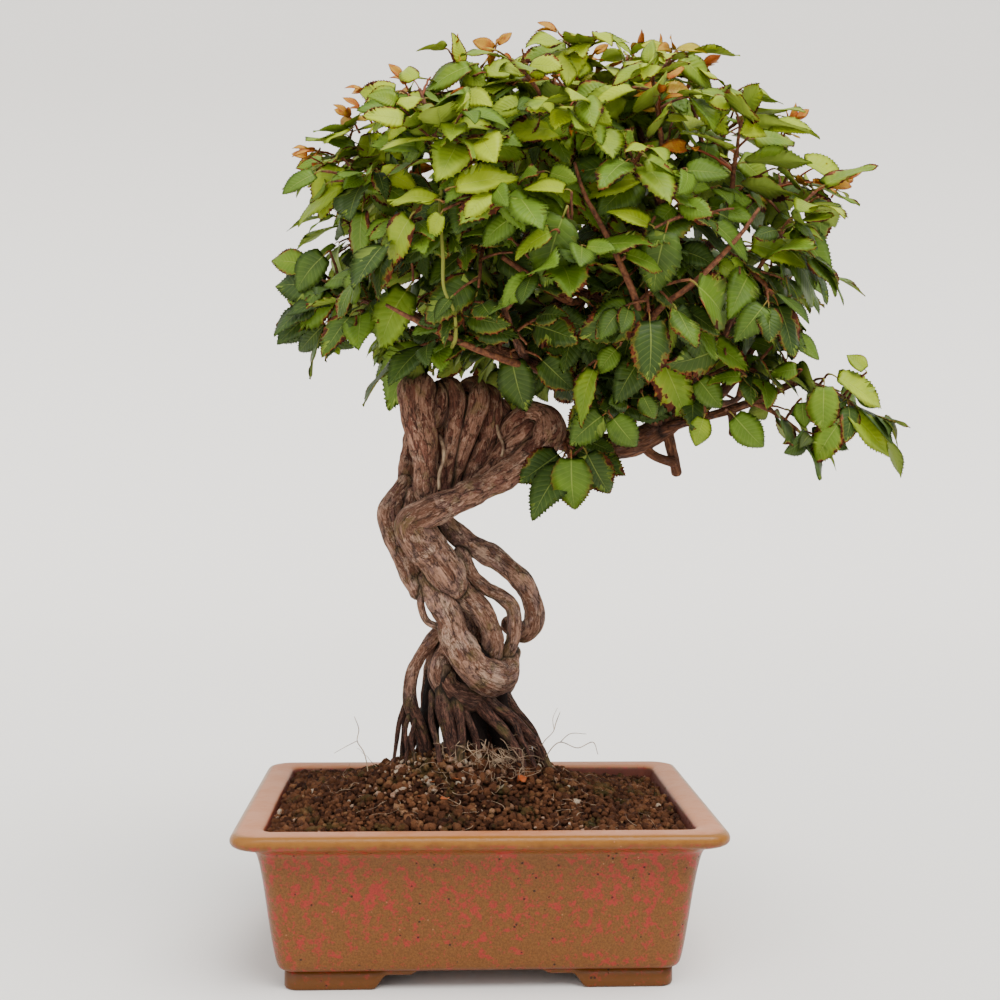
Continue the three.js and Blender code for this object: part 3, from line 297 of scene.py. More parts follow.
FRONT_TWIGS = [
    [[98, -30, 412, 3], [97, -66, 398, 2.8], [94, -92, 404, 2.4], [88, -103, 420, 2.2],
     [78, -109, 440, 1.9], [66, -112, 462, 1.6], [56, -112, 480, 1.3], [51, -108, 498, 1]],
    [[97, -66, 399, 2.2], [106, -94, 416, 2], [122, -104, 428, 1.8], [138, -108, 444, 1.6],
     [152, -108, 460, 1.3], [162, -104, 474, 1]],
    [[78, -109, 440, 1.2], [90, -113, 452, 1.1], [98, -115, 466, 0.9]],
    [[57, -10, 374, 3], [37, -24, 382, 2.7], [24, -44, 384, 2.5], [14, -62, 385, 2.3], [-14, -78, 394, 2],
     [-47, -84, 409, 1.5], [-60, -82, 416, 1]],
    [[24, -16, 456, 2.6], [30, -52, 440, 2.2], [40, -76, 432, 1.9], [52, -86, 420, 1.6]],
    [[70, -18, 431, 2.8], [52, -52, 424, 2.4], [28, -72, 436, 2], [10, -82, 446, 1.6]],
]

# Fine roots given one by one, with their radii: two on the trunk, then wisps that stand over the soil
TRUNK_THREADS = [
    [[-27, -9, 340, 1.2], [-25, -11, 334, 1.3], [-24, -12, 325, 1.2], [-27, -13, 314, 1.1],
     [-27, -13, 304, 1]],
    [[11, -6, 347, 0.9], [12, -8, 341, 1.1], [15, -9, 333, 1], [14, -10, 326, 0.9]],
]
WISPS = [
    [[-72, 0, 112, 0.4], [-76, 0, 130, 0.35], [-80, -1, 137, 0.3], [-79, 0, 144, 0.3], [-82, 0, 153, 0.2]],
    [[-80, -1, 137, 0.25], [-88, -2, 133, 0.2], [-95, -2, 129, 0.15]],
    [[40, -8, 122, 0.4], [43, -10, 137, 0.35], [50, -12, 146, 0.3], [51, -12, 150, 0.35],
     [54, -12, 158, 0.2]],
    [[50, -12, 146, 0.25], [49, -14, 154, 0.2], [52, -14, 161, 0.15]],
    [[42, -10, 124, 0.4], [54, -13, 138, 0.35], [66, -12, 134, 0.3], [76, -14, 138, 0.3],
     [79, -14, 130, 0.2]],
    [[54, -13, 138, 0.3], [60, -16, 144, 0.25], [71, -16, 144, 0.15]],
]

# Crown: a rounded box round its middle, flatter below on the left than on the right
CROWN_MIDDLE = np.array([57.0, 0.0, 470.0])
CROWN_HALF_X = 168
CROWN_HALF_Y = 124
CROWN_ABOVE = 121
CROWN_BELOW = 100
CROWN_BELOW_LEAN = 28
CROWN_POWER = 2.4
SHOOT_SPREAD = 61
LOWEST_SHOOT = -0.6
SHOOT_DEPTH = 0.1
SHOOT_SPACING = 40

# Twigs
LIMB_STEPS = 6
STARTS_TRIED = 60
SHORTEST_TWIG = 42
TWIG_RISE = 0.14
TWIG_POINTS = 31
TWIG_ROOM = 5
TWIG_LIMB_ROOM = 4
LEAVING_LENGTH = 12
GOLDEN_TURN = math.pi * (3 - math.sqrt(5))

# Leaves
LEAF_SPACING = 7.4
MOST_SIDE_LEAVES = 7
FIRST_LEAF = 0.26
LAST_SIDE_LEAF = 0.93
STALK = 7
LEAF_LENGTH = (30, 7)
LEAF_BREADTH = 0.6
LEAF_DROOP = (0.1, 0.45)
LEAF_ROLL = 0.8
LEAF_OUTWARD = 0.4
LEAF_SHIFT = 0.3
LEAF_ROOM = 2.3
LIMB_ROOM = 3
LEAF_ANGLES = (0.95, 0.8, 1.15, 0.65, 1.0, 0.75)
END_LEAF_ANGLES = (0.08, 0.2, 0.3)
LEAF_ARCH = 0.2
LEAF_FOLD = 0.28
LEAF_ROWS = ((0.05, 0.6), (0.2, 0.85), (0.35, 0.97), (0.5, 0.9), (0.65, 0.75), (0.8, 0.45), (1, 0))
VEIN_PAIRS = 11
BLADE_HALF_THICKNESS = 0.16
FILLING_SHOOTS = 88
LEAF_TRIES = 7

# Line of sight to the listed leaves: the eye, and the front view's scale and middle
EYE = np.array([21.7, -939.0, 312.4])
VIEW_SCALE = 0.665
VIEW_MIDDLE = (512.2, 477.4)

# Camera, in pixels where it isn't in millimetres or radians
CAMERA_YAW, CAMERA_PITCH, CAMERA_ROLL = 0.055, 0.016, -0.008
CAMERA_PLACE = (21.704, -938.84, 312.453)
FOCAL_LENGTH, VIEW_WIDTH, OPTICAL_X = 1411.57, 1000, 512.19
SENSOR_WIDTH = 36

# Floor in metres, which sweeps up into a wall, and lights: the way to each, its spread and share of strength
FLOOR_NEAR, FLOOR_HALF_WIDTH = -4, 5
SWEEP_START, SWEEP_RADIUS, WALL_TOP = 1.8, 1.5, 5
LIGHTS = {"key": ((0.4, -0.55, 1.3), 0.8, 1), "fill": ((-1.1, -0.8, 0.8), 1.4, 0.3)}

# Seeds of the random draws
SOIL_SEED, CROWN_SEED, ROOTLET_SEED = 41, 7, 23


# Shapes


def unit(vectors):
    """Vectors divided by their lengths."""
    return vectors / norm(vectors, axis=-1, keepdims=True)


def smoothstep(low, high, value):
    """0 below low, 1 above high, and 3 t^2 - 2 t^3 between them."""
    t = np.clip((value - low) / (high - low), 0, 1)
    return t * t * (3 - 2 * t)


def ripple(around, along, seed, terms, finest, stretch):
    """Sines with whole numbers of waves around and slopes along, each over the root of its number of waves.
    It is about -1 to 1 and closes on itself around."""
    rng = np.random.default_rng(seed)
    waves = rng.integers(1, finest + 1, terms)
    slopes = rng.uniform(-stretch, stretch, terms) * (1 + 0.4 * waves)
    phases = rng.uniform(0, 2 * np.pi, terms)
    total = np.zeros(np.broadcast(around, along).shape)
    for wave, slope, phase in zip(waves, slopes, phases):
        total += np.sin(wave * around + slope * along + phase) / math.sqrt(wave)
    return total / math.sqrt(terms)


def smooth_route(route, step):
    """A route smoothed by a cubic in each span and sampled about every step. Its slope at a point is the
    mean of those beside it, weighted by the other span's length."""
    knots = np.array(route, float)
    spans = norm(np.diff(knots[:, :3], axis=0), axis=1)
    at = np.concatenate([[0], np.cumsum(spans)])
    slopes = np.diff(knots, axis=0) / spans[:, None]
    before, after = spans[:-1, None], spans[1:, None]
    inner = (slopes[:-1] * after + slopes[1:] * before) / (before + after)
    tangents = np.vstack([slopes[:1], inner, slopes[-1:]])
    places = np.linspace(0, at[-1], max(4, round(at[-1] / step) + 1))
    span = np.clip(np.searchsorted(at, places, side="right") - 1, 0, len(spans) - 1)
    length = spans[span][:, None]
    u = (places - at[span])[:, None] / length
    start = (2 * u**3 - 3 * u**2 + 1) * knots[span] + (u**3 - 2 * u**2 + u) * tangents[span] * length
    end = (3 * u**2 - 2 * u**3) * knots[span + 1] + (u**3 - u**2) * tangents[span + 1] * length
    return start + end


def carried_axes(lines):
    """Two normals carried along lines (count, points, 3): each is the one before it, made square to the new
    tangent, which is a central difference."""
    tangents = unit(np.gradient(lines, axis=1))
    normals = np.empty_like(tangents)
    normal = np.broadcast_to(np.array([0.31, 0.87, 0.38]), tangents[:, 0].shape)
    for k in range(tangents.shape[1]):
        tangent = tangents[:, k]
        normal = unit(normal - tangent * np.sum(normal * tangent, axis=1, keepdims=True))
        normals[:, k] = normal
    return normals, np.cross(tangents, normals)


def ring_faces(rows, columns, closed_rows):
    """Quads of a grid that closes on itself along its columns, and along its rows too if asked."""
    row, column = np.indices((rows if closed_rows else rows - 1, columns))
    beside = (column + 1) % columns
    here = row * columns
    following = (row + 1) % rows * columns
    corners = [here + column, here + beside, following + beside, following + column]
    return np.stack(corners, axis=-1).reshape(-1, 4)


def tube_faces(rings, sides):
    """Quads round one tube of rings and a fan at each end, to a pole that follows the ring points."""
    k = np.arange(sides)
    following = (k + 1) % sides
    last = (rings - 1) * sides
    pole = np.full(sides, rings * sides)
    fans = np.hstack([[pole, following, k], [pole + 1, last + k, last + following]]).T
    return [ring_faces(rings, sides, False), fans]


def tubes(lines, radii, sides):
    """Closed tubes round lines (count, points, 3), with a radius for each point or ring point. A ring point
    is the line's point plus the radius times cos and sin of its angle along the two carried normals."""
    first, second = carried_axes(lines)
    angle = np.arange(sides) * 2 * np.pi / sides
    radii = radii[..., None] if radii.ndim == 2 else radii
    across = (np.cos(angle) * radii)[..., None]
    upward = (np.sin(angle) * radii)[..., None]
    rings = lines[:, :, None] + first[:, :, None] * across + second[:, :, None] * upward
    points = np.concatenate([rings.reshape(len(lines), -1, 3), lines[:, [0, -1]]], axis=1)
    return points, tube_faces(lines.shape[1], sides)


def route_tube(route, step, sides):
    """A plain tube along a smoothed route."""
    line = smooth_route(route, step)[None]
    return tubes(line[..., :3], line[..., 3], sides)


def linked(name, data):
    """A new object, linked to the scene."""
    made = bpy.data.objects.new(name, data)
    bpy.context.scene.collection.objects.link(made)
    return made


class Surface:
    """The vertices and faces of one piece, gathered from shapes, with named values for each vertex."""

    def __init__(self):
        self.points = []
        self.faces = {}
        self.values = {}
        self.size = 0

    def add(self, points, faces, **values):
        """Adds one shape or copies of it: points is (count, vertices, 3), faces is a list of arrays that
        index one copy, and each value broadcasts to (count, vertices) or (count, vertices, 3)."""
        points = np.reshape(points, (-1, *np.shape(points)[-2:]))
        count, vertices = points.shape[:2]
        first = self.size + np.arange(count) * vertices
        for part in faces:
            moved = (part[None] + first[:, None, None]).reshape(-1, part.shape[1])
            self.faces.setdefault(part.shape[1], []).append(moved)
        for name, value in values.items():
            value = np.asarray(value, float)
            wide = value.shape[-1:] if value.shape[-1:] == (3,) else ()
            whole = np.broadcast_to(value, (count, vertices, *wide)).reshape(-1, *wide)
            self.values.setdefault(name, []).append(whole)
        self.points.append(points.reshape(-1, 3))
        self.size += count * vertices

    def piece(self, name, material, slot, replaces=()):
        """Puts the surface in a mesh, whose object stays at the origin and rides the root body."""
        mesh = bpy.data.meshes.new(name)
        mesh.vertices.add(self.size)
        mesh.vertices.foreach_set("co", (np.vstack(self.points) * MM + ZERO).ravel())
        groups = [np.vstack(parts) for parts in self.faces.values()]
        corners = np.concatenate([group.ravel() for group in groups])
        sizes = np.concatenate([np.full(len(group), group.shape[1]) for group in groups])
        mesh.loops.add(len(corners))
        mesh.loops.foreach_set("vertex_index", corners)
        mesh.polygons.add(len(sizes))
        mesh.polygons.foreach_set("loop_start", np.cumsum(sizes) - sizes)
        mesh.polygons.foreach_set("use_smooth", np.full(len(sizes), True))
        for title, parts in self.values.items():
            value = np.concatenate(parts)
            kind, field = ("FLOAT", "value") if value.ndim == 1 else ("FLOAT_VECTOR", "vector")
            mesh.attributes.new(title, kind, "POINT").data.foreach_set(field, value.ravel())
        mesh.update(calc_edges=True)
        if mesh.validate():
            raise RuntimeError(f"the mesh of {name} has faults")
        mesh.materials.append(material)
        made = linked(name, mesh)
        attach(made, "root")
        if replaces:
            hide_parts(*replaces)


# Growth of the leafy stems, by the same rule and draws as the CAD source


def draws(seed):
    """Repeatable draws between 0 and 1: the state times 16807, modulo 2147483647, over that modulus."""
    state = seed
    while True:
        state = state * 16807 % 2147483647
        yield state / 2147483647


def crown_reach(directions):
    """Distance from the crown's middle to its outside: shares of the half sizes, to a power and summed."""
    directions = np.atleast_2d(directions)
    below = CROWN_BELOW + CROWN_BELOW_LEAN * directions[:, 0]
    upright = np.where(directions[:, 2] > 0, CROWN_ABOVE, below)
    halves = np.stack(np.broadcast_arrays(CROWN_HALF_X, CROWN_HALF_Y, upright), axis=1)
    return np.sum(np.abs(directions / halves) ** CROWN_POWER, axis=1) ** (-1 / CROWN_POWER)


def spiral_direction(k, count, turned=0.0):
    """The k-th of count directions spread evenly over a sphere in a sunflower spiral."""
    rise = 1 - 2 * (k + 0.5) / count
    turn = k * GOLDEN_TURN + turned
    flat = math.sqrt(1 - rise * rise)
    return np.array([flat * math.cos(turn), flat * math.sin(turn), rise])


def shoot_tips():
    """Tips of the shoots: the named ones, then an even spread over the crown."""
    named = np.array(NAMED_TIPS, float)
    tips = list(named)
    for k in range(SHOOT_SPREAD):
        direction = spiral_direction(k, SHOOT_SPREAD)
        draw = draws(311 + 17 * k)
        next(draw)
        reach = crown_reach(direction)[0] * (1 - SHOOT_DEPTH * next(draw))
        tip = direction * reach + CROWN_MIDDLE
        crowded = np.any(norm(named - tip, axis=1) < SHOOT_SPACING)
        if direction[2] > LOWEST_SHOOT and not crowded:
            tips.append(tip)
    return tips


def limb_points():
    """Points along the limbs with the limb's radius there, evenly in each span of the route."""
    shares = np.arange(LIMB_STEPS)[:, None] / LIMB_STEPS
    spans = [pair for route in LIMBS for pair in zip(np.array(route, float), np.array(route[1:], float))]
    return np.vstack([start + (end - start) * shares for start, end in spans])


class Twig:
    """A curve of one bend from a limb to its tip, with the way in which its leaves stand to both sides."""

    def __init__(self, start, tip, turn, rise=TWIG_RISE):
        self.start = start
        self.tip = tip
        self.bend = (start + tip) / 2 + UP * rise * norm(tip - start)
        level = np.cross(unit(tip - start), UP)
        upright = norm(level) <= 0.3
        self.side = unit(np.array([math.cos(turn), math.sin(turn), 0.0]) if upright else level)
        self.youth = 0
        self.leaves = []
        self.shares = []

    def point(self, share):
        """Bernstein's three weights of the start, bend and tip."""
        t = np.asarray(share, float)[..., None]
        return (1 - t) ** 2 * self.start + 2 * (1 - t) * t * self.bend + t * t * self.tip

    def line(self, count=TWIG_POINTS):
        return self.point(np.linspace(0, 1, count))

    def length(self):
        return float(np.sum(norm(np.diff(self.line(201), axis=0), axis=1)))

    def axes(self, share):
        """The twig's own axes at a share of its length: along it, its upper side and sideways."""
        ends = self.point([max(share - 1e-4, 0), min(share + 1e-4, 1)])
        along = unit(ends[1] - ends[0])
        upper = unit(np.cross(self.side, along))
        return along, upper, np.cross(along, upper)


def distances(points, others):
    """Distances from each of some points to each of some others."""
    return norm(points[:, None] - others[None], axis=2)


def grow_twigs(limbs):
    """Each tip's twig starts at the nearest limb point from which it passes clear of limbs and twigs."""
    twigs = []
    taken = np.empty((0, 3))
    for index, tip in enumerate(shoot_tips()):
        away = norm(limbs[:, :3] - tip, axis=1)
        order = np.argsort(away, kind="stable")
        for start in limbs[order[away[order] > SHORTEST_TWIG][:STARTS_TRIED]]:
            twig = Twig(start[:3], tip, index)
            line = twig.line()
            free = line[norm(line - start[:3], axis=1) > start[3] + LEAVING_LENGTH]
            if np.any(distances(free, limbs[:, :3]) <= limbs[:, 3] + TWIG_LIMB_ROOM):
                continue
            if len(taken) and np.any(distances(line, taken) <= TWIG_ROOM):
                continue
            twigs.append(twig)
            taken = np.vstack([taken, line])
            break
    return twigs


class Leaf:
    """Where a leaf sits: its foot on the twig, its length's way, its upper side's normal and its size."""

    def __init__(self, foot, direction, normal, length):
        self.foot = foot
        self.direction = direction
        self.normal = normal
        self.across = np.cross(normal, direction)
        self.length = length
        self.probes = None

    def lift(self, along, across):
        """The blade arches down towards its tip and folds up on both sides of its midrib."""
        share = np.maximum(0, along - STALK) / self.length
        return LEAF_FOLD * np.abs(across) - LEAF_ARCH * self.length * share * share

    def point(self, along, across):
        along, across = np.broadcast_arrays(along, across)
        flat = self.foot + along[..., None] * self.direction + across[..., None] * self.across
        return flat + self.lift(along, across)[..., None] * self.normal

    def probe(self):
        """Points of the stalk and the blade, three to a row."""
        half = LEAF_BREADTH * self.length / 2
        rows = np.array(LEAF_ROWS)
        along = np.repeat(STALK + rows[:, 0] * self.length, 3)
        across = (rows[:, 1, None] * np.array([-1, 0, 1]) * half).ravel()
        return self.point(np.append(along, 0.6 * STALK), np.append(across, 0.0))

    def near(self, points, room):
        """Whether any of the points lies within a room of the blade or stalk."""
        offset = points - self.foot
        along = offset @ self.direction
        across = offset @ self.across
        share = (along - STALK) / self.length
        blade = np.minimum(np.minimum(1, 0.6 + 2 * share), 2.2 * (1.05 - share))
        out = np.where(share < 0, 1, LEAF_BREADTH * self.length / 2 * blade)
        beside = (along >= 0) & (share <= 1 + room / self.length) & (np.abs(across) <= out + room)
        off = np.abs(offset @ self.normal - self.lift(along, across))
        return bool(np.any(beside & (off < room)))


def turned(vector, axis, angle):
    """A vector turned about an axis square to it."""
    return vector * math.cos(angle) + np.cross(axis, vector) * math.sin(angle)


def leaf_place(twig, share, hand, angle, draw):
    """A leaf at an angle from its twig, drooping and rolled by draws, its upper side turned outward."""
    along, upper, sideways = twig.axes(share)
    foot = twig.point(share)
    droop = LEAF_DROOP[0] + LEAF_DROOP[1] * next(draw)
    roll = LEAF_ROLL * (next(draw) - 0.5)
    length = LEAF_LENGTH[0] + LEAF_LENGTH[1] * next(draw)
    direction = unit(along * math.cos(angle) + sideways * hand * math.sin(angle) - UP * droop)
    normal = upper + LEAF_OUTWARD * unit(foot - CROWN_MIDDLE)
    normal = unit(normal - direction * (normal @ direction))
    return Leaf(foot, direction, turned(normal, direction, roll), length)


def grow_leaves(twigs, limbs):
    """Leaves stand alternately beside the outer part of a twig, with one at its tip. Each stays at the first
    of a few angles that is clear of limbs, twigs and the leaves before it."""
    grown = []
    lines = [twig.line() for twig in twigs]

    def fits(leaf, twig):
        probes = leaf.probe()
        if np.any(distances(probes, limbs[:, :3]) <= limbs[:, 3] + LIMB_ROOM):
            return False
        reach = 2 * (STALK + leaf.length)
        near = [other for other in grown if norm(other.foot - leaf.foot) < reach]
        if any(leaf.near(other.probes, LEAF_ROOM) or other.near(probes, LEAF_ROOM) for other in near):
            return False
        own = lines[twigs.index(twig)]
        own = own[norm(own - leaf.foot, axis=1) >= TWIG_ROOM]
        others = [line for other, line in zip(twigs, lines) if other is not twig]
        return not leaf.near(np.vstack([own, *others]), LEAF_ROOM)

    for index, twig in enumerate(twigs):
        draw = draws(9001 + 131 * index)
        next(draw)
        leafy = twig.length() * (LAST_SIDE_LEAF - FIRST_LEAF)
        side_leaves = min(math.floor(leafy / LEAF_SPACING + 0.5), MOST_SIDE_LEAVES)
        for k in range(side_leaves + 1):
            last = k == side_leaves
            place = (k + 0.5 + LEAF_SHIFT * (next(draw) - 0.5)) / side_leaves
            share = 1 if last else FIRST_LEAF + (LAST_SIDE_LEAF - FIRST_LEAF) * place
            for angle in END_LEAF_ANGLES if last else LEAF_ANGLES:
                leaf = leaf_place(twig, share, 1 if k % 2 else -1, angle, draw)
                if fits(leaf, twig):
                    leaf.probes = leaf.probe()
                    grown.append(leaf)
                    twig.leaves.append(leaf)
                    twig.shares.append(share)
                    break


# Pot


def outline(half_x, half_y, radius, per_corner=10, per_side=(64, 46)):
    """Round-cornered rectangles, one for each row of sizes: quarter circles joined by evenly split runs,
    counter-clockwise from the right. It gives x and y, each (rows, points)."""
    half_x, half_y, radius = (np.asarray(size, float)[:, None] for size in (half_x, half_y, radius))
    quarter = np.linspace(0, np.pi / 2, per_corner)
    corners = []
    for turn, (sx, sy) in enumerate(((1, 1), (-1, 1), (-1, -1), (1, -1))):
        angle = quarter + turn * np.pi / 2
        x = sx * (half_x - radius) + radius * np.cos(angle)
        y = sy * (half_y - radius) + radius * np.sin(angle)
        corners.append(np.stack([x, y], axis=-1))
    runs = []
    for turn, corner in enumerate(corners):
        following = corners[(turn + 1) % 4]
        shares = np.linspace(0, 1, per_side[turn % 2] + 2)[1:-1, None]
        runs += [corner, corner[:, -1:] + (following[:, :1] - corner[:, -1:]) * shares]
    points = np.concatenate(runs, axis=1)
    return points[..., 0], points[..., 1]


def cut_corners(profile, rounds):
    """Cuts a closed profile's corners: a round puts points a quarter and three quarters along each side."""
    for _ in range(rounds):
        following = np.roll(profile, -1, axis=0)
        profile = np.stack([0.75 * profile + 0.25 * following, 0.25 * profile + 0.75 * following], axis=1)
        profile = profile.reshape(-1, profile.shape[-1])
    return profile


def evened(profile, step):
    """A closed profile resampled about every step along its length."""
    closed = np.vstack([profile, profile[:1]])
    at = np.concatenate([[0], np.cumsum(norm(np.diff(closed[:, :2], axis=0), axis=1))])
    places = np.linspace(0, at[-1], round(at[-1] / step), endpoint=False)
    return np.stack([np.interp(places, at, closed[:, k]) for k in range(closed.shape[1])], axis=1)


def pot_wall():
    """The pot's section carried round the round-cornered rectangle, with a slight waver of long sines."""
    section = evened(cut_corners(np.array(POT_SECTION, float), 3), 1.9)
    inset, level, radius = section.T
    x, y = outline(RIM_HALF_X - inset, RIM_HALF_Y - inset, radius)
    z = np.repeat(level[:, None], x.shape[1], axis=1)
    touching = smoothstep(0, 6, inset)[:, None] * smoothstep(0, 4, POT_HEIGHT - z)
    waver = 0.25 * np.sin(x / 31 + z / 17) * np.sin(y / 23 + 1.1) * touching
    away = np.hypot(x, y)
    points = np.stack([x * (1 + waver / away), y * (1 + waver / away), z], axis=-1)
    inside = (inset > WALL_TOP_INSET - 1) & (np.arange(len(inset)) > len(inset) * 0.45)
    values = {"inset": np.repeat(inset, x.shape[1]), "inner": np.repeat(inside, x.shape[1])}
    return points.reshape(-1, 3), [ring_faces(*x.shape, True)], values


def drained_floor(side):
    """Half of the pot's floor, under and over: rays from the drain hole's circle to the half rectangle."""
    bottom = FEET_HEIGHT + 0.4
    angle = np.arange(96) * 2 * np.pi / 96
    inset = WALL_BOTTOM_INSET - 1
    half_x, half_y = RIM_HALF_X - inset, RIM_HALF_Y - inset
    cos, sin = np.cos(angle), np.sin(angle)
    room_x = np.where(cos * side > 0, half_x - DRAIN_X, DRAIN_X)
    reach = np.minimum(room_x / np.maximum(np.abs(cos), 1e-9), half_y / np.maximum(np.abs(sin), 1e-9))
    out = np.array([0, 0.03, 0.3, 0.65, 1, 1, 0.65, 0.3, 0.03, 0])[:, None]
    level = np.array([bottom + 1] + [bottom] * 4 + [FLOOR_TOP] * 4 + [FLOOR_TOP - 1])[:, None]
    away = DRAIN_RADIUS + (reach - DRAIN_RADIUS) * out
    x = side * DRAIN_X + cos * away
    points = np.stack([x, sin * away, np.broadcast_to(level, away.shape)], axis=-1)
    return points.reshape(-1, 3), [ring_faces(*away.shape, True)]


def bracket_foot(sx, sy):
    """One bracket foot: a rounded block section carried round the corner. Its underside rises from the
    ground in a smooth step to a thin lip at both ends."""
    half_x, half_y = RIM_HALF_X - FOOT_INSET, RIM_HALF_Y - FOOT_INSET
    long_run = half_x - np.linspace(LONG_ARM[1] + 2, FOOT_CORNER, 46, endpoint=False)
    quarter = np.linspace(np.pi / 2, 0, 9)
    short_run = half_y - np.linspace(FOOT_CORNER, SHORT_ARM[1] + 2, 36)[1:]
    arc_x = half_x - FOOT_CORNER + FOOT_CORNER * np.cos(quarter)
    arc_y = half_y - FOOT_CORNER + FOOT_CORNER * np.sin(quarter)
    x = np.concatenate([long_run, arc_x, np.full(len(short_run), half_x)])
    y = np.concatenate([np.full(len(long_run), half_y), arc_y, short_run])
    arm = np.where(x < half_x - FOOT_CORNER, LONG_ARM[0], SHORT_ARM[0])
    lip = np.where(x < half_x - FOOT_CORNER, LONG_ARM[1], SHORT_ARM[1])
    along = np.maximum(half_x - x, half_y - y)
    base = FOOT_LIP_LEVEL * smoothstep(arm - 1, arm + 8, along)
    base += (FEET_HEIGHT - FOOT_LIP_LEVEL - 0.4) * smoothstep(lip - 3, lip + 2, along)
    depth = np.array([0, 0, 0.4, 1.4, 8, FOOT_BREADTH - 1.4, FOOT_BREADTH - 0.4, FOOT_BREADTH, FOOT_BREADTH])
    lifted = np.array([0, 1.4, 0.4, 0, 0, 0, 0.4, 1.4, 0])
    top = FEET_HEIGHT + 1.2
    z = np.minimum(base[:, None] + lifted, top - 0.1)
    z[:, [0, -1]] = top
    inner_x = np.clip(x, -(half_x - FOOT_BREADTH), half_x - FOOT_BREADTH)
    inner_y = np.clip(y, -(half_y - FOOT_BREADTH), half_y - FOOT_BREADTH)
    share = depth / FOOT_BREADTH
    px = sx * (x[:, None] + (inner_x - x)[:, None] * share)
    py = sy * (y[:, None] + (inner_y - y)[:, None] * share)
    points = np.stack([px, py, z], axis=-1)
    rows, columns = z.shape
    faces = ring_faces(rows, columns, False)
    ends = [np.arange(columns)[None, ::-1], (rows - 1) * columns + np.arange(columns)[None]]
    if sx * sy < 0:
        return points.reshape(-1, 3), [faces, *ends]
    return points.reshape(-1, 3), [faces[:, ::-1], *[end[:, ::-1] for end in ends]]


# Soil


def mound_level(x, y):
    """Level of the soil: a bell over the edge's level, and a low bell of loose grains against the roots."""
    mound = SOIL_MOUND * np.exp(-((x / MOUND_REACH_X) ** 2) - (y / MOUND_REACH_Y) ** 2)
    heap = HEAP * np.exp(-(((x + 22) / 62) ** 2) - ((y + 2) / 50) ** 2)
    return SOIL_EDGE + mound + heap - 0.018 * x - 0.006 * y


def soil_bed():
    """The soil's body: rings shrunk from the pot's wall to the middle under the grains, and down its sides
    to a closed bottom."""
    rings = 36
    shrink = np.concatenate([np.linspace(0.02, 1, rings), [1, 1, 0.5, 0.02]])
    level_inset = np.full(rings + 4, WALL_TOP_INSET + 1.4)
    level_inset[rings:] = [WALL_TOP_INSET + 2] + [WALL_BOTTOM_INSET + 1.5] * 3
    x, y = outline(RIM_HALF_X - level_inset, RIM_HALF_Y - level_inset, np.full(rings + 4, 6.5), 5, (32, 22))
    x *= shrink[:, None]
    y *= shrink[:, None]
    z = mound_level(x, y) - 1.2 + 0.5 * np.sin(x * 1.3 + np.sin(y)) * np.sin(y * 1.1)
    z[rings] = SOIL_EDGE - 6
    z[rings + 1:] = FLOOR_TOP + 0.6
    points = np.stack([x, y, z], axis=-1).reshape(-1, 3)
    poles = [[0, 0, mound_level(0, 0) - 1.2], [0, 0, FLOOR_TOP + 0.6]]
    return np.vstack([points, poles]), [part[:, ::-1] for part in tube_faces(*x.shape)]


def pebble(rings, sides):
    """A ball of a few rings of points and two poles."""
    rise = np.linspace(-1, 1, rings + 2)[1:-1, None] * 1.15
    angle = np.arange(sides) * 2 * np.pi / sides + 0.45 * np.arange(rings)[:, None]
    flat = np.sqrt(1 - rise**2)
    ring = np.stack([flat * np.cos(angle), flat * np.sin(angle), rise + 0 * angle], axis=-1)
    points = np.vstack([ring.reshape(-1, 3), [[0, 0, -1], [0, 0, 1]]])
    return points, tube_faces(rings, sides)


def grains(rng, places, radii, rings, sides):
    """Grains at places: the pebble with each point pushed in or out by a draw, squeezed along its axes and
    turned by a random unit quaternion: v plus twice its number times axis x v plus axis x (axis x v)."""
    points, faces = pebble(rings, sides)
    lumpy = points * rng.uniform(0.66, 1.2, (len(places), len(points), 1))
    lumpy *= rng.uniform(0.62, 1.2, (len(places), 1, 3))
    spin = unit(rng.normal(size=(len(places), 1, 4)))
    number, axis = spin[..., :1], spin[..., 1:]
    across = np.cross(axis, lumpy)
    lumpy += 2 * (number * across + np.cross(axis, across))
    return lumpy * radii[:, None, None] + places[:, None], faces


def scattered(rng, pitch, half_x, half_y):
    """Places on a triangular grid of a pitch, each moved by up to nearly half the pitch."""
    columns = np.arange(-half_x, half_x, pitch)
    rows = np.arange(-half_y, half_y, pitch * 0.87)
    x, y = np.meshgrid(columns, rows)
    x = x + (np.arange(len(rows))[:, None] % 2) * pitch / 2
    places = np.stack([x.ravel(), y.ravel()], axis=1) + rng.uniform(-0.45, 0.45, (x.size, 2)) * pitch
    return places[(np.abs(places[:, 0]) < half_x) & (np.abs(places[:, 1]) < half_y)]


# Wood


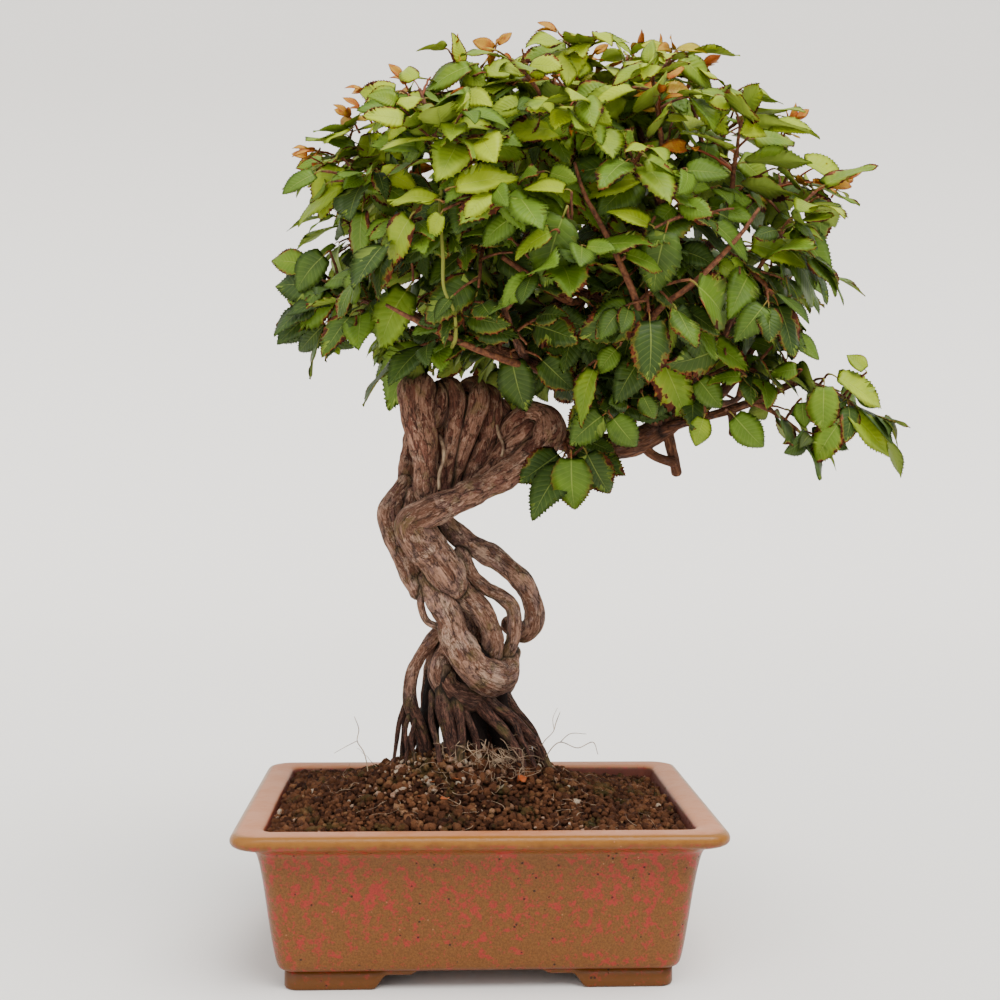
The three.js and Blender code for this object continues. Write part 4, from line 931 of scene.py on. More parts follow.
def stem_surface(surface, route, sides, step, seed, relief, kind, others=None):
    """A tube round a stem's smooth line with round caps, whose radius carries flutes, ridges and bumps as
    ripples. The grain value is the place in the straightened stem, shortened along it, so that a pattern
    runs along the stem without a seam."""
    line = smooth_route(route, step)
    points, radius = line[:, :3], line[:, 3]
    ends = np.array([0.35, 0.7, 0.94])
    caps = np.sqrt(1 - ends**2)
    lead = unit(points[0] - points[1]) * (radius[0] * ends)[::-1, None]
    tail = unit(points[-1] - points[-2]) * (radius[-1] * ends)[:, None]
    points = np.vstack([points[0] + lead, points, points[-1] + tail])
    radius = np.concatenate([radius[0] * caps[::-1], radius, radius[-1] * caps])
    along = np.concatenate([[0], np.cumsum(norm(np.diff(points, axis=0), axis=1))])
    angle = np.arange(sides) * 2 * np.pi / sides
    at = along[:, None]
    flutes = ripple(angle, at, seed, 5, 3, 0.03)
    ridges = ripple(angle, at, seed + 1, 30, sides // 3, 0.07)
    bumps = ripple(angle, at, seed + 2, 16, 5, 0.4)
    swell = ripple(0 * angle, at, seed + 3, 6, 1, 0.22)
    shape = 1 + relief * (0.5 * flutes + 0.3 * ridges + 0.42 * bumps + 0.5 * swell)
    wall = radius[:, None] * shape
    rings, faces = tubes(points[None], wall[None], sides)
    count = rings.shape[1]
    grain = np.zeros((count, 3))
    grain[:-2, 0] = (wall * np.cos(angle)).ravel()
    grain[:-2, 1] = (wall * np.sin(angle)).ravel()
    grain[:-2, 2] = np.repeat(along * 0.16, sides) + seed * 37.0
    grain[-2:, 2] = [seed * 37.0, along[-1] * 0.16 + seed * 37.0]
    height = np.append((0.6 * ridges + 0.4 * bumps).ravel(), [0, 0])
    gap = np.full(count, 99.0)
    if others is not None:
        for first in range(0, count, 2000):
            part = rings[0, first:first + 2000]
            gap[first:first + 2000] = np.min(distances(part, others[:, :3]) - others[:, 3], axis=1)
    # Shaded crease: near another stem, where the bark gets painted shade
    crease = 1 - smoothstep(-0.5, 2.2, gap)
    surface.add(rings, faces, grain=grain * MM, crease=crease, height=height, kind=kind)


def threads(rng, starts, ways, lengths, curl, fall, count=14):
    """Lines of fine roots (threads, count, 3). At each step a thread's way turns by a random walk and falls
    a little, and the thread stays above the soil."""
    step = (lengths / (count - 1))[:, None]
    point, way = np.array(starts, float), unit(np.array(ways, float))
    drift = np.zeros_like(point)
    lines = [point]
    for _ in range(count - 1):
        drift = 0.6 * drift + rng.normal(0, curl, point.shape)
        way = unit(way + drift - UP * fall)
        point = point + way * step
        point[:, 2] = np.maximum(point[:, 2], mound_level(point[:, 0], point[:, 1]) + 2.6)
        lines.append(point)
    return np.stack(lines, axis=1)


def thread_surface(surface, lines, thickest, thinnest):
    """Three-sided tubes along threads, thinner towards their ends."""
    taper = np.linspace(0, 1, lines.shape[1]) ** 0.8
    radii = thickest[:, None] * (1 - taper) + thinnest * taper
    points, faces = tubes(lines, radii, 3)
    surface.add(points, faces)


def all_stems():
    """Every stem's smooth line at a coarse step, by which creases between stems are found for their painted
    shade.
    """
    return [smooth_route(route, 2.5) for route in TRUNK_STEMS + ROOTS + LIMBS]


# Foliage


class Blade:
    """What all blades share. A vertex has a row share, which runs along the veins from base to tip, a share
    across and a side: 0 above, 1 below and 0.5 on the toothed edge. Each half has quads by the midrib and
    seven-cornered faces at the edge, which hold a large tooth and a small one each."""

    rows = 9
    teeth = (0.02, -0.014, 0.009, -0.014)

    def __init__(self):
        self.vertices = []
        rows, split = self.rows, len(self.teeth)
        above = [self.vertex(i / rows, 0, 0.5 if i in (0, rows) else 0) for i in range(rows + 1)]
        below = [above[0]] + [self.vertex(i / rows, 0, 1) for i in range(1, rows)] + [above[rows]]
        faces = []
        for hand in (1, -1):
            middle = [self.vertex(i / rows, 0.52 * hand, 0) for i in range(1, rows)]
            inner = [above[0], *middle, above[rows]]
            toothed = [self.vertex(k / (split * rows), hand, 0.5, self.teeth[k % split])
                       for k in range(1, split * rows)]
            edge = [above[0], *toothed, above[rows]]
            for i in range(rows):
                faces.append([above[i], above[i + 1], inner[i + 1], inner[i]][::hand])
                tooth = edge[split * i:split * i + split + 1]
                faces.append([inner[i], inner[i + 1], *tooth[::-1]][::hand])
                faces.append([below[i + 1], below[i], *tooth][::hand])
        faces = [list(dict.fromkeys(face)) for face in faces]
        sizes = sorted({len(face) for face in faces})
        self.faces = [np.array([face for face in faces if len(face) == n]) for n in sizes]
        self.share, self.across, self.side, self.tooth = np.array(self.vertices, float).T
        self.places = np.stack([self.across, self.share, self.side], axis=-1)

    def vertex(self, share, across, side, tooth=0):
        self.vertices.append((share, across, side, tooth))
        return len(self.vertices) - 1


BLADE = Blade()


def blade_points(foot, direction, normal, across, form):
    """Leaf blades, (leaves, vertices, 3). A row starts on the midrib at its share to the power 1.12 and runs
    forward to the edge. Half the width is a sine of the place's power, fuller at the base and acute at the
    tip, and edge points stand out or in by their teeth. The blade folds up from the midrib, arches down by
    the place's square, curls at the edge, waves, twists about its length and bends sideways."""
    share, out = BLADE.share, np.abs(BLADE.across)
    hand = np.sign(BLADE.across)
    middle = share**1.12
    forward = 0.2 * np.sin(np.pi * share) ** 0.8 - 0.06 * np.exp(-((share / 0.07) ** 2)) * (share > 0)
    edge = middle + 0.2 * np.sin(np.pi * share) ** 0.8
    place = np.clip((edge + 0.035) / 1.035, 0, 1)
    width = np.sin(np.pi * place**0.8) ** (0.6 + 0.24 * place)
    along = middle + (forward + np.maximum(BLADE.tooth, 0)) * out
    length = form["length"][:, None]
    half = length * form["width"][:, None]
    y = (half * width * out + length * BLADE.tooth * (width > 0.2)) * hand
    lift = form["fold"][:, None] * np.abs(y)
    lift -= form["arch"][:, None] * length * along**2
    lift -= form["curl"][:, None] * y**2 / half
    lift += form["wave"][:, None] * half * out**2 * np.sin(share * 9 + form["phase"][:, None] + hand)
    lift += np.where(BLADE.side == 0, 1, np.where(BLADE.side == 1, -1, 0)) * BLADE_HALF_THICKNESS
    twist = form["twist"][:, None] * along
    turned_y = y * np.cos(twist) - lift * np.sin(twist)
    turned_z = y * np.sin(twist) + lift * np.cos(twist)
    turned_y += form["bend"][:, None] * length * along**2
    base = foot[:, None] + direction[:, None] * form["stalk"][:, None, None]
    return base + direction[:, None] * (length * along)[..., None] \
        + across[:, None] * turned_y[..., None] + normal[:, None] * turned_z[..., None]


def stalk_lines(foot, direction, normal, form):
    """Stalks: from the middle of the twig to just inside the blade's base, bowed up a little at half way."""
    place = np.array([0, 0.35, 0.7, 1.12])
    bow = 0.9 * np.sin(np.pi * np.minimum(place, 1))
    along = form["stalk"][:, None] * place
    return foot[:, None] + direction[:, None] * along[..., None] + normal[:, None] * bow[None, :, None]


def add_leaves(surface, leaves):
    """Puts leaves on a surface: each a toothed blade and its stalk. Of foliage's values, blade is across,
    along and side, leaf is tone, scorch and youth, and kind is 0 for a blade, 1 for a stalk, 2 for a twig,
    3 for litter and 4 for a green shoot."""
    if not leaves:
        return
    stack = {name: np.array([leaf[name] for leaf in leaves]) for name in leaves[0]}
    foot, direction, normal, across = (stack[name] for name in ("foot", "direction", "normal", "across"))
    points = blade_points(foot, direction, normal, across, stack)
    leaf = stack["leaf"][:, None]
    surface.add(points, BLADE.faces, blade=BLADE.places, leaf=leaf, kind=0)
    radii = np.array([0.75, 0.55, 0.5, 0.42]) * (stack["length"][:, None] / 32) ** 0.5
    points, faces = tubes(stalk_lines(foot, direction, normal, stack), radii, 4)
    surface.add(points, faces, blade=(0, 0, 0), leaf=leaf, kind=1)


def add_twig(surface, twig, radii, seed):
    """Puts a twig on a surface: a six-sided tube along its curve, a little swollen where leaves stand."""
    count = max(12, round(twig.length() / 2.4))
    share = np.linspace(0, 1, count)
    radius = radii[0] + (radii[1] - radii[0]) * share
    for leaf in twig.shares:
        radius = radius + 0.45 * radii[1] * np.exp(-(((share - leaf) / 0.018) ** 2))
    line = twig.line(count)
    sway = 0.35 * np.sin(share * 19 + seed) * np.sin(np.pi * share)
    line = line + twig.side * sway[:, None]
    points, faces = tubes(line[None], radius[None], 6)
    surface.add(points, faces, blade=(0, 0, 0), leaf=(0.5, 0, twig.youth), kind=2)


def add_litter(surface, rng, places):
    """Dry leaf scraps that lie on the soil: small curled blades at random turns."""
    count = len(places)
    turn = rng.uniform(0, 2 * np.pi, count)
    tilt = rng.uniform(-0.35, 0.35, count)
    direction = unit(np.stack([np.cos(turn), np.sin(turn), tilt], axis=1))
    across = np.stack([-np.sin(turn), np.cos(turn), rng.normal(0, 0.3, count)], axis=1)
    normal = unit(np.cross(direction, across))
    spans = {"length": (5, 10), "width": (0.2, 0.5), "fold": (0, 0.3), "arch": (0, 0.3), "curl": (0, 0.4),
             "wave": (0.1, 0.3), "phase": (0, 6), "twist": (-0.6, 0.6), "bend": (-0.1, 0.1), "stalk": (0, 0)}
    form = {name: rng.uniform(*span, count) for name, span in spans.items()}
    points = blade_points(places, direction, normal, np.cross(normal, direction), form)
    leaf = np.insert(np.ones((count, 1, 2)), 0, rng.uniform(0, 1, (count, 1)), axis=2)
    surface.add(points, BLADE.faces, blade=BLADE.places, leaf=leaf, kind=3)


def seen_point(across, down, y):
    """The point at a depth that shows at a place of the front view, in thousandths of its width. The depth
    is y, or for 0 the crown's front, found by moving along the line of sight."""
    offset = np.array([across - VIEW_MIDDLE[0], 0, VIEW_MIDDLE[1] - down])
    plane = np.array([EYE[0], 0, EYE[2]]) + VIEW_SCALE * offset
    point = plane
    for _ in range(4):
        shares = np.abs((point - CROWN_MIDDLE) / (CROWN_HALF_X, 1, CROWN_BELOW)) ** CROWN_POWER
        front = -CROWN_HALF_Y * max(1 - shares[0] - shares[2], 0.02) ** (1 / CROWN_POWER) - 4
        point = EYE + (plane - EYE) * ((y or front) - EYE[1]) / -EYE[1]
    return point


class Crown:
    """Places leaves over the crown. Each further leaf tries a few poses and takes the one whose blade is
    farthest from the blades before it and inside the crown."""

    def __init__(self, rng):
        self.rng = rng
        self.centres = np.empty((0, 3))
        self.shown = np.vstack([np.array(route)[:, :3] for route in FRONT_TWIGS])

    def tone(self, point):
        """How bright a leaf is, as painted light and shade: lighter towards the crown's outside and top,
        darker inside and low down, with a wide random draw.
        """
        offset = point - CROWN_MIDDLE
        share = norm(offset) / crown_reach(unit(offset))[0]
        height = np.clip(offset[2] / CROWN_ABOVE, -1, 1)
        lit = 0.38 * smoothstep(0.5, 1.1, share) + 0.66 * height
        return float(np.clip(lit + self.rng.normal(0.02, 0.22), 0, 1))

    def form(self, length, youth):
        """The shape numbers of one leaf."""
        rng = self.rng
        scorched = rng.random() < 0.42 and youth < 0.3
        return {
            "length": length,
            "width": rng.uniform(0.31, 0.39) * (1 - 0.22 * youth),
            "fold": rng.uniform(0.0, 0.24) + 0.35 * youth,
            "arch": rng.uniform(0.14, 0.5),
            "curl": rng.uniform(-0.08, 0.14) + (0.14 if scorched else 0.0),
            "wave": rng.uniform(0.02, 0.1) + (0.07 if scorched else 0.0),
            "phase": rng.uniform(0, 6.28),
            "twist": rng.normal(0, 0.22),
            "bend": rng.normal(0, 0.05),
            "scorch": rng.uniform(0.3, 1.0) if scorched else rng.uniform(0, 0.1),
        }

    def finish(self, foot, direction, normal, form, stalk, youth):
        """A leaf's record from its place and form; its blade's middle is kept for the leaves after it."""
        middle = foot + direction * (stalk + 0.5 * form["length"])
        self.centres = np.vstack([self.centres, middle])
        scorch = form.pop("scorch")
        leaf = np.array([self.tone(middle), scorch, youth])
        return {**form, "foot": foot, "direction": direction, "normal": normal,
                "across": np.cross(normal, direction), "stalk": stalk, "leaf": leaf}

    def lit_way(self, point):
        """Where upper sides face: up, away from the crown's middle and to the light in front of it."""
        outward = unit(point - CROWN_MIDDLE)
        level = outward * (1, 1, 0)
        level = level / max(norm(level), 0.3)
        front = (-0.5 - 0.5 * smoothstep(-50, -90, point[0])) * smoothstep(60, -20, point[1])
        return 0.45 * UP + 0.6 * level + 0.25 * outward + np.array([0, front, 0])

    def kept(self, leaf):
        """A leaf of the CAD source at the same place, with a finer form and rolled to the light. Those that
        stand up at the crown's top are smaller."""
        upright = max(0, leaf.direction[2] - 0.1) * smoothstep(530, 560, leaf.foot[2])
        at_left = smoothstep(-80, -110, leaf.foot[0])
        size = self.rng.uniform(1.05, 1.18) * (1 - 0.75 * upright) * (1 - 0.16 * at_left)
        form = self.form(leaf.length * size, 0)
        form["width"] = LEAF_BREADTH / 2 * self.rng.uniform(1.06, 1.22)
        form["fold"] = 0.6 * LEAF_FOLD + self.rng.uniform(-0.06, 0.08)
        form["arch"] = LEAF_ARCH + self.rng.uniform(0, 0.2) + 0.5 * upright
        normal = leaf.normal + 0.7 * self.lit_way(leaf.foot)
        normal = unit(normal - leaf.direction * (normal @ leaf.direction))
        return self.finish(leaf.foot, leaf.direction, normal, form, STALK, 0)

    def placed(self, row):
        """A listed leaf, from its foot to its tip."""
        foot, tip = seen_point(*row[0:2], row[4]), seen_point(*row[2:4], row[4])
        side, up, width, tone, scorch = (share / 100 for share in row[5:])
        direction = unit(tip - foot)
        length = norm(tip - foot) * 0.86
        normal = np.array([side, -1, up])
        normal = unit(normal - direction * (normal @ direction))
        form = self.form(length, 0.0)
        form.update(width=width, fold=0.2, arch=0.3, twist=0.16, bend=0.05, scorch=scorch)
        leaf = self.finish(foot, direction, normal, form, length * 0.16, 0.0)
        # The given tone sets this leaf's painted light and shade
        leaf["leaf"][0] = tone
        self.shown = np.vstack([self.shown, self.centres[-1]])
        return leaf

    def added(self, twig, share, hand, length, youth):
        """A further leaf on a twig."""
        rng = self.rng
        along, upper, sideways = twig.axes(share)
        foot = twig.point(share)
        level_out = unit(foot - CROWN_MIDDLE) * (1, 1, 0)
        stalk = 0.2 * length
        best = None
        for _ in range(LEAF_TRIES):
            angle = rng.uniform(0.0, 0.35) if share > 0.99 else rng.uniform(0.55, 1.25)
            lift = rng.uniform(-1.0, -0.05) * (1 - 0.9 * youth)
            direction = along * math.cos(angle) + sideways * hand * math.sin(angle)
            direction = unit(direction + UP * lift + level_out * rng.uniform(0, 0.35))
            normal = 0.25 * upper + self.lit_way(foot)
            normal = unit(normal - direction * (normal @ direction))
            normal = turned(normal, direction, rng.uniform(-0.65, 0.65))
            middle = foot + direction * (stalk + 0.5 * length)
            tip = foot + direction * (stalk + length)
            space = np.min(norm(self.centres - middle, axis=1)) if len(self.centres) else 99
            away = tip - CROWN_MIDDLE
            over = norm(away) / crown_reach(unit(away))[0]
            before = self.shown[self.shown[:, 1] > middle[1] - 4] - middle
            hides = np.any(np.hypot(before[:, 0], before[:, 2]) < 0.45 * length + 4)
            score = min(space, 22) - 60 * max(0, over - 1.1) - 500 * hides
            if best is None or score > best[0]:
                best = (score, direction, normal)
        if best[0] < -400:
            return []
        return [self.finish(foot, best[1], best[2], self.form(length, youth), stalk, youth)]

    def shoot(self, start, direction, length, leaves, youth, biggest=34):
        """A side shoot with alternate leaves that get smaller and younger towards its tip."""
        rng = self.rng
        away = start + direction * length - CROWN_MIDDLE
        over = norm(away) / crown_reach(unit(away))[0]
        if over > 1.06:
            length *= 0.6
        twig = Twig(start, start + direction * length, rng.uniform(0, 6.28), 0.12)
        twig.youth = youth
        twig.shares = np.linspace(0.3, 0.95, leaves)
        made = []
        for k, share in enumerate(twig.shares):
            size = biggest * rng.uniform(0.72, 1.06) * (1 - 0.3 * share) * (1 - 0.45 * youth)
            made += self.added(twig, share, 1 if k % 2 else -1, size, youth * share)
        made += self.added(twig, 1.0, 1, biggest * rng.uniform(0.5, 0.8) * (1 - 0.45 * youth), youth)
        return twig, made


# Materials


class Signal:
    """A socket of one material's nodes. Arithmetic on it adds Math nodes, and node() adds any other node."""

    def __init__(self, tree, socket=None):
        self.tree = tree
        self.socket = socket

    def node(self, kind, settings=None, sockets=None, output=0):
        """Adds a node of a kind. Its settings are set first, then its sockets get values or signals."""
        made = self.tree.nodes.new("ShaderNode" + kind)
        for setting, value in (settings or {}).items():
            if setting == "stops":
                ramp = made.color_ramp
                while len(ramp.elements) < len(value):
                    ramp.elements.new(1.0)
                for element, (position, colour) in zip(ramp.elements, value):
                    element.position = position
                    element.color = colour
            else:
                setattr(made, setting, value)
        for name, value in (sockets or {}).items():
            if isinstance(value, Signal):
                self.tree.links.new(value.socket, made.inputs[name])
            else:
                made.inputs[name].default_value = value
        return Signal(self.tree, made.outputs[output])

    def maths(self, operation, first, second=0.0):
        return self.node("Math", {"operation": operation}, {0: first, 1: second})

    def __add__(self, other):
        return self.maths("ADD", self, other)

    __radd__ = __add__

    def __sub__(self, other):
        return self.maths("SUBTRACT", self, other)

    def __rsub__(self, other):
        return self.maths("SUBTRACT", other, self)

    def __mul__(self, other):
        return self.maths("MULTIPLY", self, other)

    __rmul__ = __mul__

    def __abs__(self):
        return self.maths("ABSOLUTE", self)

    def most(self, *others):
        """The largest of this and other signals."""
        largest = self
        for other in others:
            largest = self.maths("MAXIMUM", largest, other)
        return largest

    def over(self, *layers):
        """This colour with others laid over it in turn, each a share and a colour."""
        base = self
        for share, laid in layers:
            base = share.blend(base, laid)
        return base

    def step(self, low, high):
        """A smooth step from 0 at low to 1 at high, or falling where low is the larger."""
        limits = {"Value": self, "From Min": min(low, high), "From Max": max(low, high)}
        limits.update({"To Min": float(low > high), "To Max": float(low < high)})
        return self.node("MapRange", {"interpolation_type": "SMOOTHSTEP"}, limits)

    def parts(self):
        """The three numbers of a vector."""
        split = self.node("SeparateXYZ", None, {0: self}).socket.node
        return [Signal(self.tree, output) for output in split.outputs]

    def noise(self, size, detail=4.0, roughness=0.55, output=0):
        """Noise on this vector, with features of about a size in millimetres, from 0 to 1."""
        sockets = {"Vector": self, "Scale": 1 / (size * MM), "Detail": detail, "Roughness": roughness}
        return self.node("TexNoise", None, sockets, output)

    def cells(self, size, feature="F1", output=0):
        """Distance to the nearest cell point or edge, in cells of a size in millimetres."""
        sockets = {"Vector": self, "Scale": 1 / (size * MM)}
        return self.node("TexVoronoi", {"feature": feature}, sockets, output)

    def blend(self, first, second):
        """A colour mixed from first to second by this signal."""
        return self.node("Mix", {"data_type": "RGBA"}, {0: self, 6: first, 7: second}, 2)

    def bump(self, height, distance):
        """A normal from a height, with a distance in millimetres."""
        return self.node("Bump", None, {"Height": height, "Distance": distance * MM})

    def value(self, name, output="Fac"):
        """A named value of the mesh."""
        return self.node("Attribute", {"attribute_name": name}, None, output)

    def place(self):
        """The place in the object's own coordinates."""
        return self.node("TexCoord", None, None, "Object")


def colour(red, green, blue):
    """A display colour, 0 to 255, as the linear colour that shaders use."""
    shown = np.array([red, green, blue]) / 255
    linear = np.where(shown <= 0.04045, shown / 12.92, ((shown + 0.055) / 1.055) ** 2.4)
    return (*linear.tolist(), 1.0)


def finished(name, look, looks):
    """A Principled material whose sockets take what the look gives for them."""
    material = bpy.data.materials.new(name)
    material.use_nodes = True
    tree = material.node_tree
    shader = tree.nodes["Principled BSDF"]
    for socket, value in look(Signal(tree), looks).items():
        if isinstance(value, Signal):
            tree.links.new(value.socket, shader.inputs[socket])
        else:
            shader.inputs[socket].default_value = value
    return material


def glaze_look(s, looks):
    """Ochre glaze speckled with gold and broken into coral patches, with iron pits, a golden lip that is
    paler towards its top as a painted highlight, a dry pinkish rim and a dark inner wall."""
    place = s.place()
    inset, inner = s.value("inset"), s.value("inner")
    level = (place.parts()[2] - float(ZERO[2])) * (1 / MM)
    speck = place.noise(1.15, 3, 0.7)
    patch = place.noise(5, 5, 0.6) * 0.74 + speck * 0.26 + (place.noise(42, 2) - 0.5) * 0.18
    coral = (patch + level * 0.0004).step(0.52, 0.59) * level.step(5, 15)
    ground = (0.1 + speck.step(0.3, 0.66) * 0.8).blend(looks.ground_dark, looks.ground)
    ground = ground.over((speck.step(0.56, 0.7) * 0.26, looks.gold_fleck_and_lip_highlight), (level.step(15, 9), looks.foot))
    red = (0.2 + speck.step(0.3, 0.66) * 0.7).blend(looks.coral_dark, looks.coral)
    deep = (patch + level * 0.0004).step(0.56, 0.63)
    body = (coral * 0.46 + deep * 0.38).blend(ground, red)
    top_face = inset.step(2.5, 5.5) * level.step(98.4, 100.2)
    gold = inset.step(8, 3.5) * level.step(91.5, 94.5)
    # The lip's gold, paler towards its top as a painted highlight
    edge = (level + (place.noise(9, 5, 0.66) - 0.5) * 12).step(93, 98.5).blend(looks.lip, looks.gold_fleck_and_lip_highlight)
    top = place.noise(16, 5, 0.6).step(0.36, 0.72).blend(looks.rim, looks.rim_warm)
    inside = place.noise(9, 3).blend(looks.inside, looks.inside_red)
    pale = place.cells(7).step(0.09, 0.05) * place.noise(30, 1).step(0.45, 0.55)
    crowd = place.noise(21, 2) + level.step(60, 92) * 0.12 + level.step(22, 6) * 0.1
    pits = place.cells(5.4).step(0.17, 0.1) * crowd.step(0.53, 0.59) * (1 - top_face) * (1 - gold * 0.9)
    glaze = body.over(
        (gold * (1 - coral * level.step(97, 94.5) * 0.7), edge),
        (top_face, top),
        (inner, inside),
        (pale * 0.5, looks.rim),
        (pits * 0.8, looks.pit),
    )
    skin = place.noise(1.2, 3) * 0.35 + place.noise(8, 2) - pits * 1.2 + coral * 0.15
    roughness = place.noise(13, 3) * 0.16 + looks.roughness + top_face * 0.2 + pits * 0.3 + inner * 0.3
    return {
        "Base Color": glaze,
        "Roughness": roughness,
        "Normal": s.bump(skin, 0.32),
        "Specular IOR Level": 0.26,
    }


def grain_look(s, looks):
    """Baked clay crumbs: each has a colour of its own tone, mottled and rough, with moss in patches."""
    place = s.place()
    tone = s.value("tone")
    rough = place.noise(1.3, 5, 0.72)
    stops = [(0.0, looks.darkest), (0.22, looks.dark), (0.58, looks.brown), (0.8, looks.ochre),
             (0.9, looks.tan), (0.98, looks.pale)]
    base = s.node("ValToRGB", {"stops": stops}, {0: tone + (rough - 0.5) * 0.5})
    damp = place.noise(31, 3).step(0.45, 0.62)
    mossy = place.noise(19, 4).step(0.54, 0.64)
    return {
        "Base Color": base.over((damp * 0.35, looks.darkest), (mossy * 0.42, looks.moss)),
        "Roughness": 0.95,
        "Normal": s.bump(rough, 2.4),
        "Specular IOR Level": 0.15,
    }


def bark_look(s, looks):
    """Tan bark with a fine grain along the stem and sparse dark cracks. It is scaled with grey flakes low on
    the trunk, bared in crisp red-brown patches on the upper loops and green in places. Pale scuffs on raised
    bark are also painted highlights, and creases between stems and the root ball's core are dark with
    painted shade."""
    place, grain = s.place(), s.value("grain", "Vector")
    crease, height, kind = s.value("crease"), s.value("height"), s.value("kind")
    level = (place.parts()[2] - float(ZERO[2])) * (1 / MM)
    short, long = (s.node("VectorMath", {"operation": "MULTIPLY"}, {0: grain, 1: (1, 1, along)})
                   for along in (3.2, 1.7))
    bend = {0: grain.noise(5, 3, 0.6, 1), 1: (0.006,) * 3, 2: long}
    bent = s.node("VectorMath", {"operation": "MULTIPLY_ADD"}, bend)
    plate = bent.cells(5.2, "F1", 1).parts()[0]
    gap = bent.cells(5.2, "DISTANCE_TO_EDGE")
    fine = short.noise(1.0, 4, 0.68)
    fibres = grain.noise(1.7, 5, 0.66)
    flecks = short.noise(4.2, 6, 0.68)
    patches = place.noise(15, 4, 0.6)
    upper = level.step(285, 345)
    raised = (fine * 0.4 + fibres * 0.46 + plate * 0.14).step(0.38, 0.62)
    scale = (flecks * 0.86 + plate * 0.14 + (patches - 0.5) * 0.5).step(0.525, 0.56) * (1 - upper * 0.75)
    worn = (flecks * 0.5 + plate * 0.2 + patches * 0.3).step(0.525, 0.54) * level.step(255, 330)
    # Pale scuffs on raised bark, which also paint highlights on the raised parts
    scuffs_and_highlights = (height * 0.25 + patches * 0.5 + fine * 0.5).step(0.52, 0.66)
    green = (place.noise(13, 4) + level.step(354, 372) * 0.1 + crease * 0.25).step(0.54, 0.66) * (1 - worn)
    limb = fibres.step(0.3, 0.7).blend(looks.limb_dark, looks.limb)
    limb = limb.over((flecks.step(0.52, 0.62) * 0.4, looks.bark_grey))
    root = (fine * 0.5 + fibres * 0.5).step(0.4, 0.62).blend(looks.root_dark, looks.root)
    root = root.over((green * 0.3, looks.algae))
    earthy = (level + (patches - 0.5) * 40 - kind * 5).step(184, 156)
    crack = (gap.step(0.06, 0.012) * 0.75).most(abs(fibres - 0.5).step(0.036, 0.01) * 0.55)
    crack = crack * (0.3 + flecks.step(0.42, 0.54) * 0.7)
    # Dark marks: real cracks and fine dark grain, with painted shade in creases between stems and on the
    # root ball's core (kind 3)
    dark = crack.most(fine.step(0.4, 0.28) * 0.4, crease, kind.step(2.3, 2.7))
    bark = raised.blend(looks.bark_dark, looks.bark_pale).over(
        (upper * 0.45, looks.bark),
        (scale * 0.62, looks.bark_grey),
        (worn * 0.66, looks.bark_red),
        (scuffs_and_highlights * (0.46 - upper * 0.12) * (1 - worn), looks.scuff_and_highlight),
        (green * 0.36, looks.algae),
        (earthy * 0.92, root),
        (kind.step(1.3, 1.9), limb),
        (s.maths("MINIMUM", dark, 0.95), looks.cracks_and_shade),
    )
    relief = fine * 0.45 + fibres * 0.5 + flecks * 0.7 + plate * 0.14 - crack * 0.5 - worn * 0.2
    return {
        "Base Color": bark,
        "Roughness": 0.86,
        "Normal": s.bump(relief, 2.2),
        "Specular IOR Level": 0.22,
    }


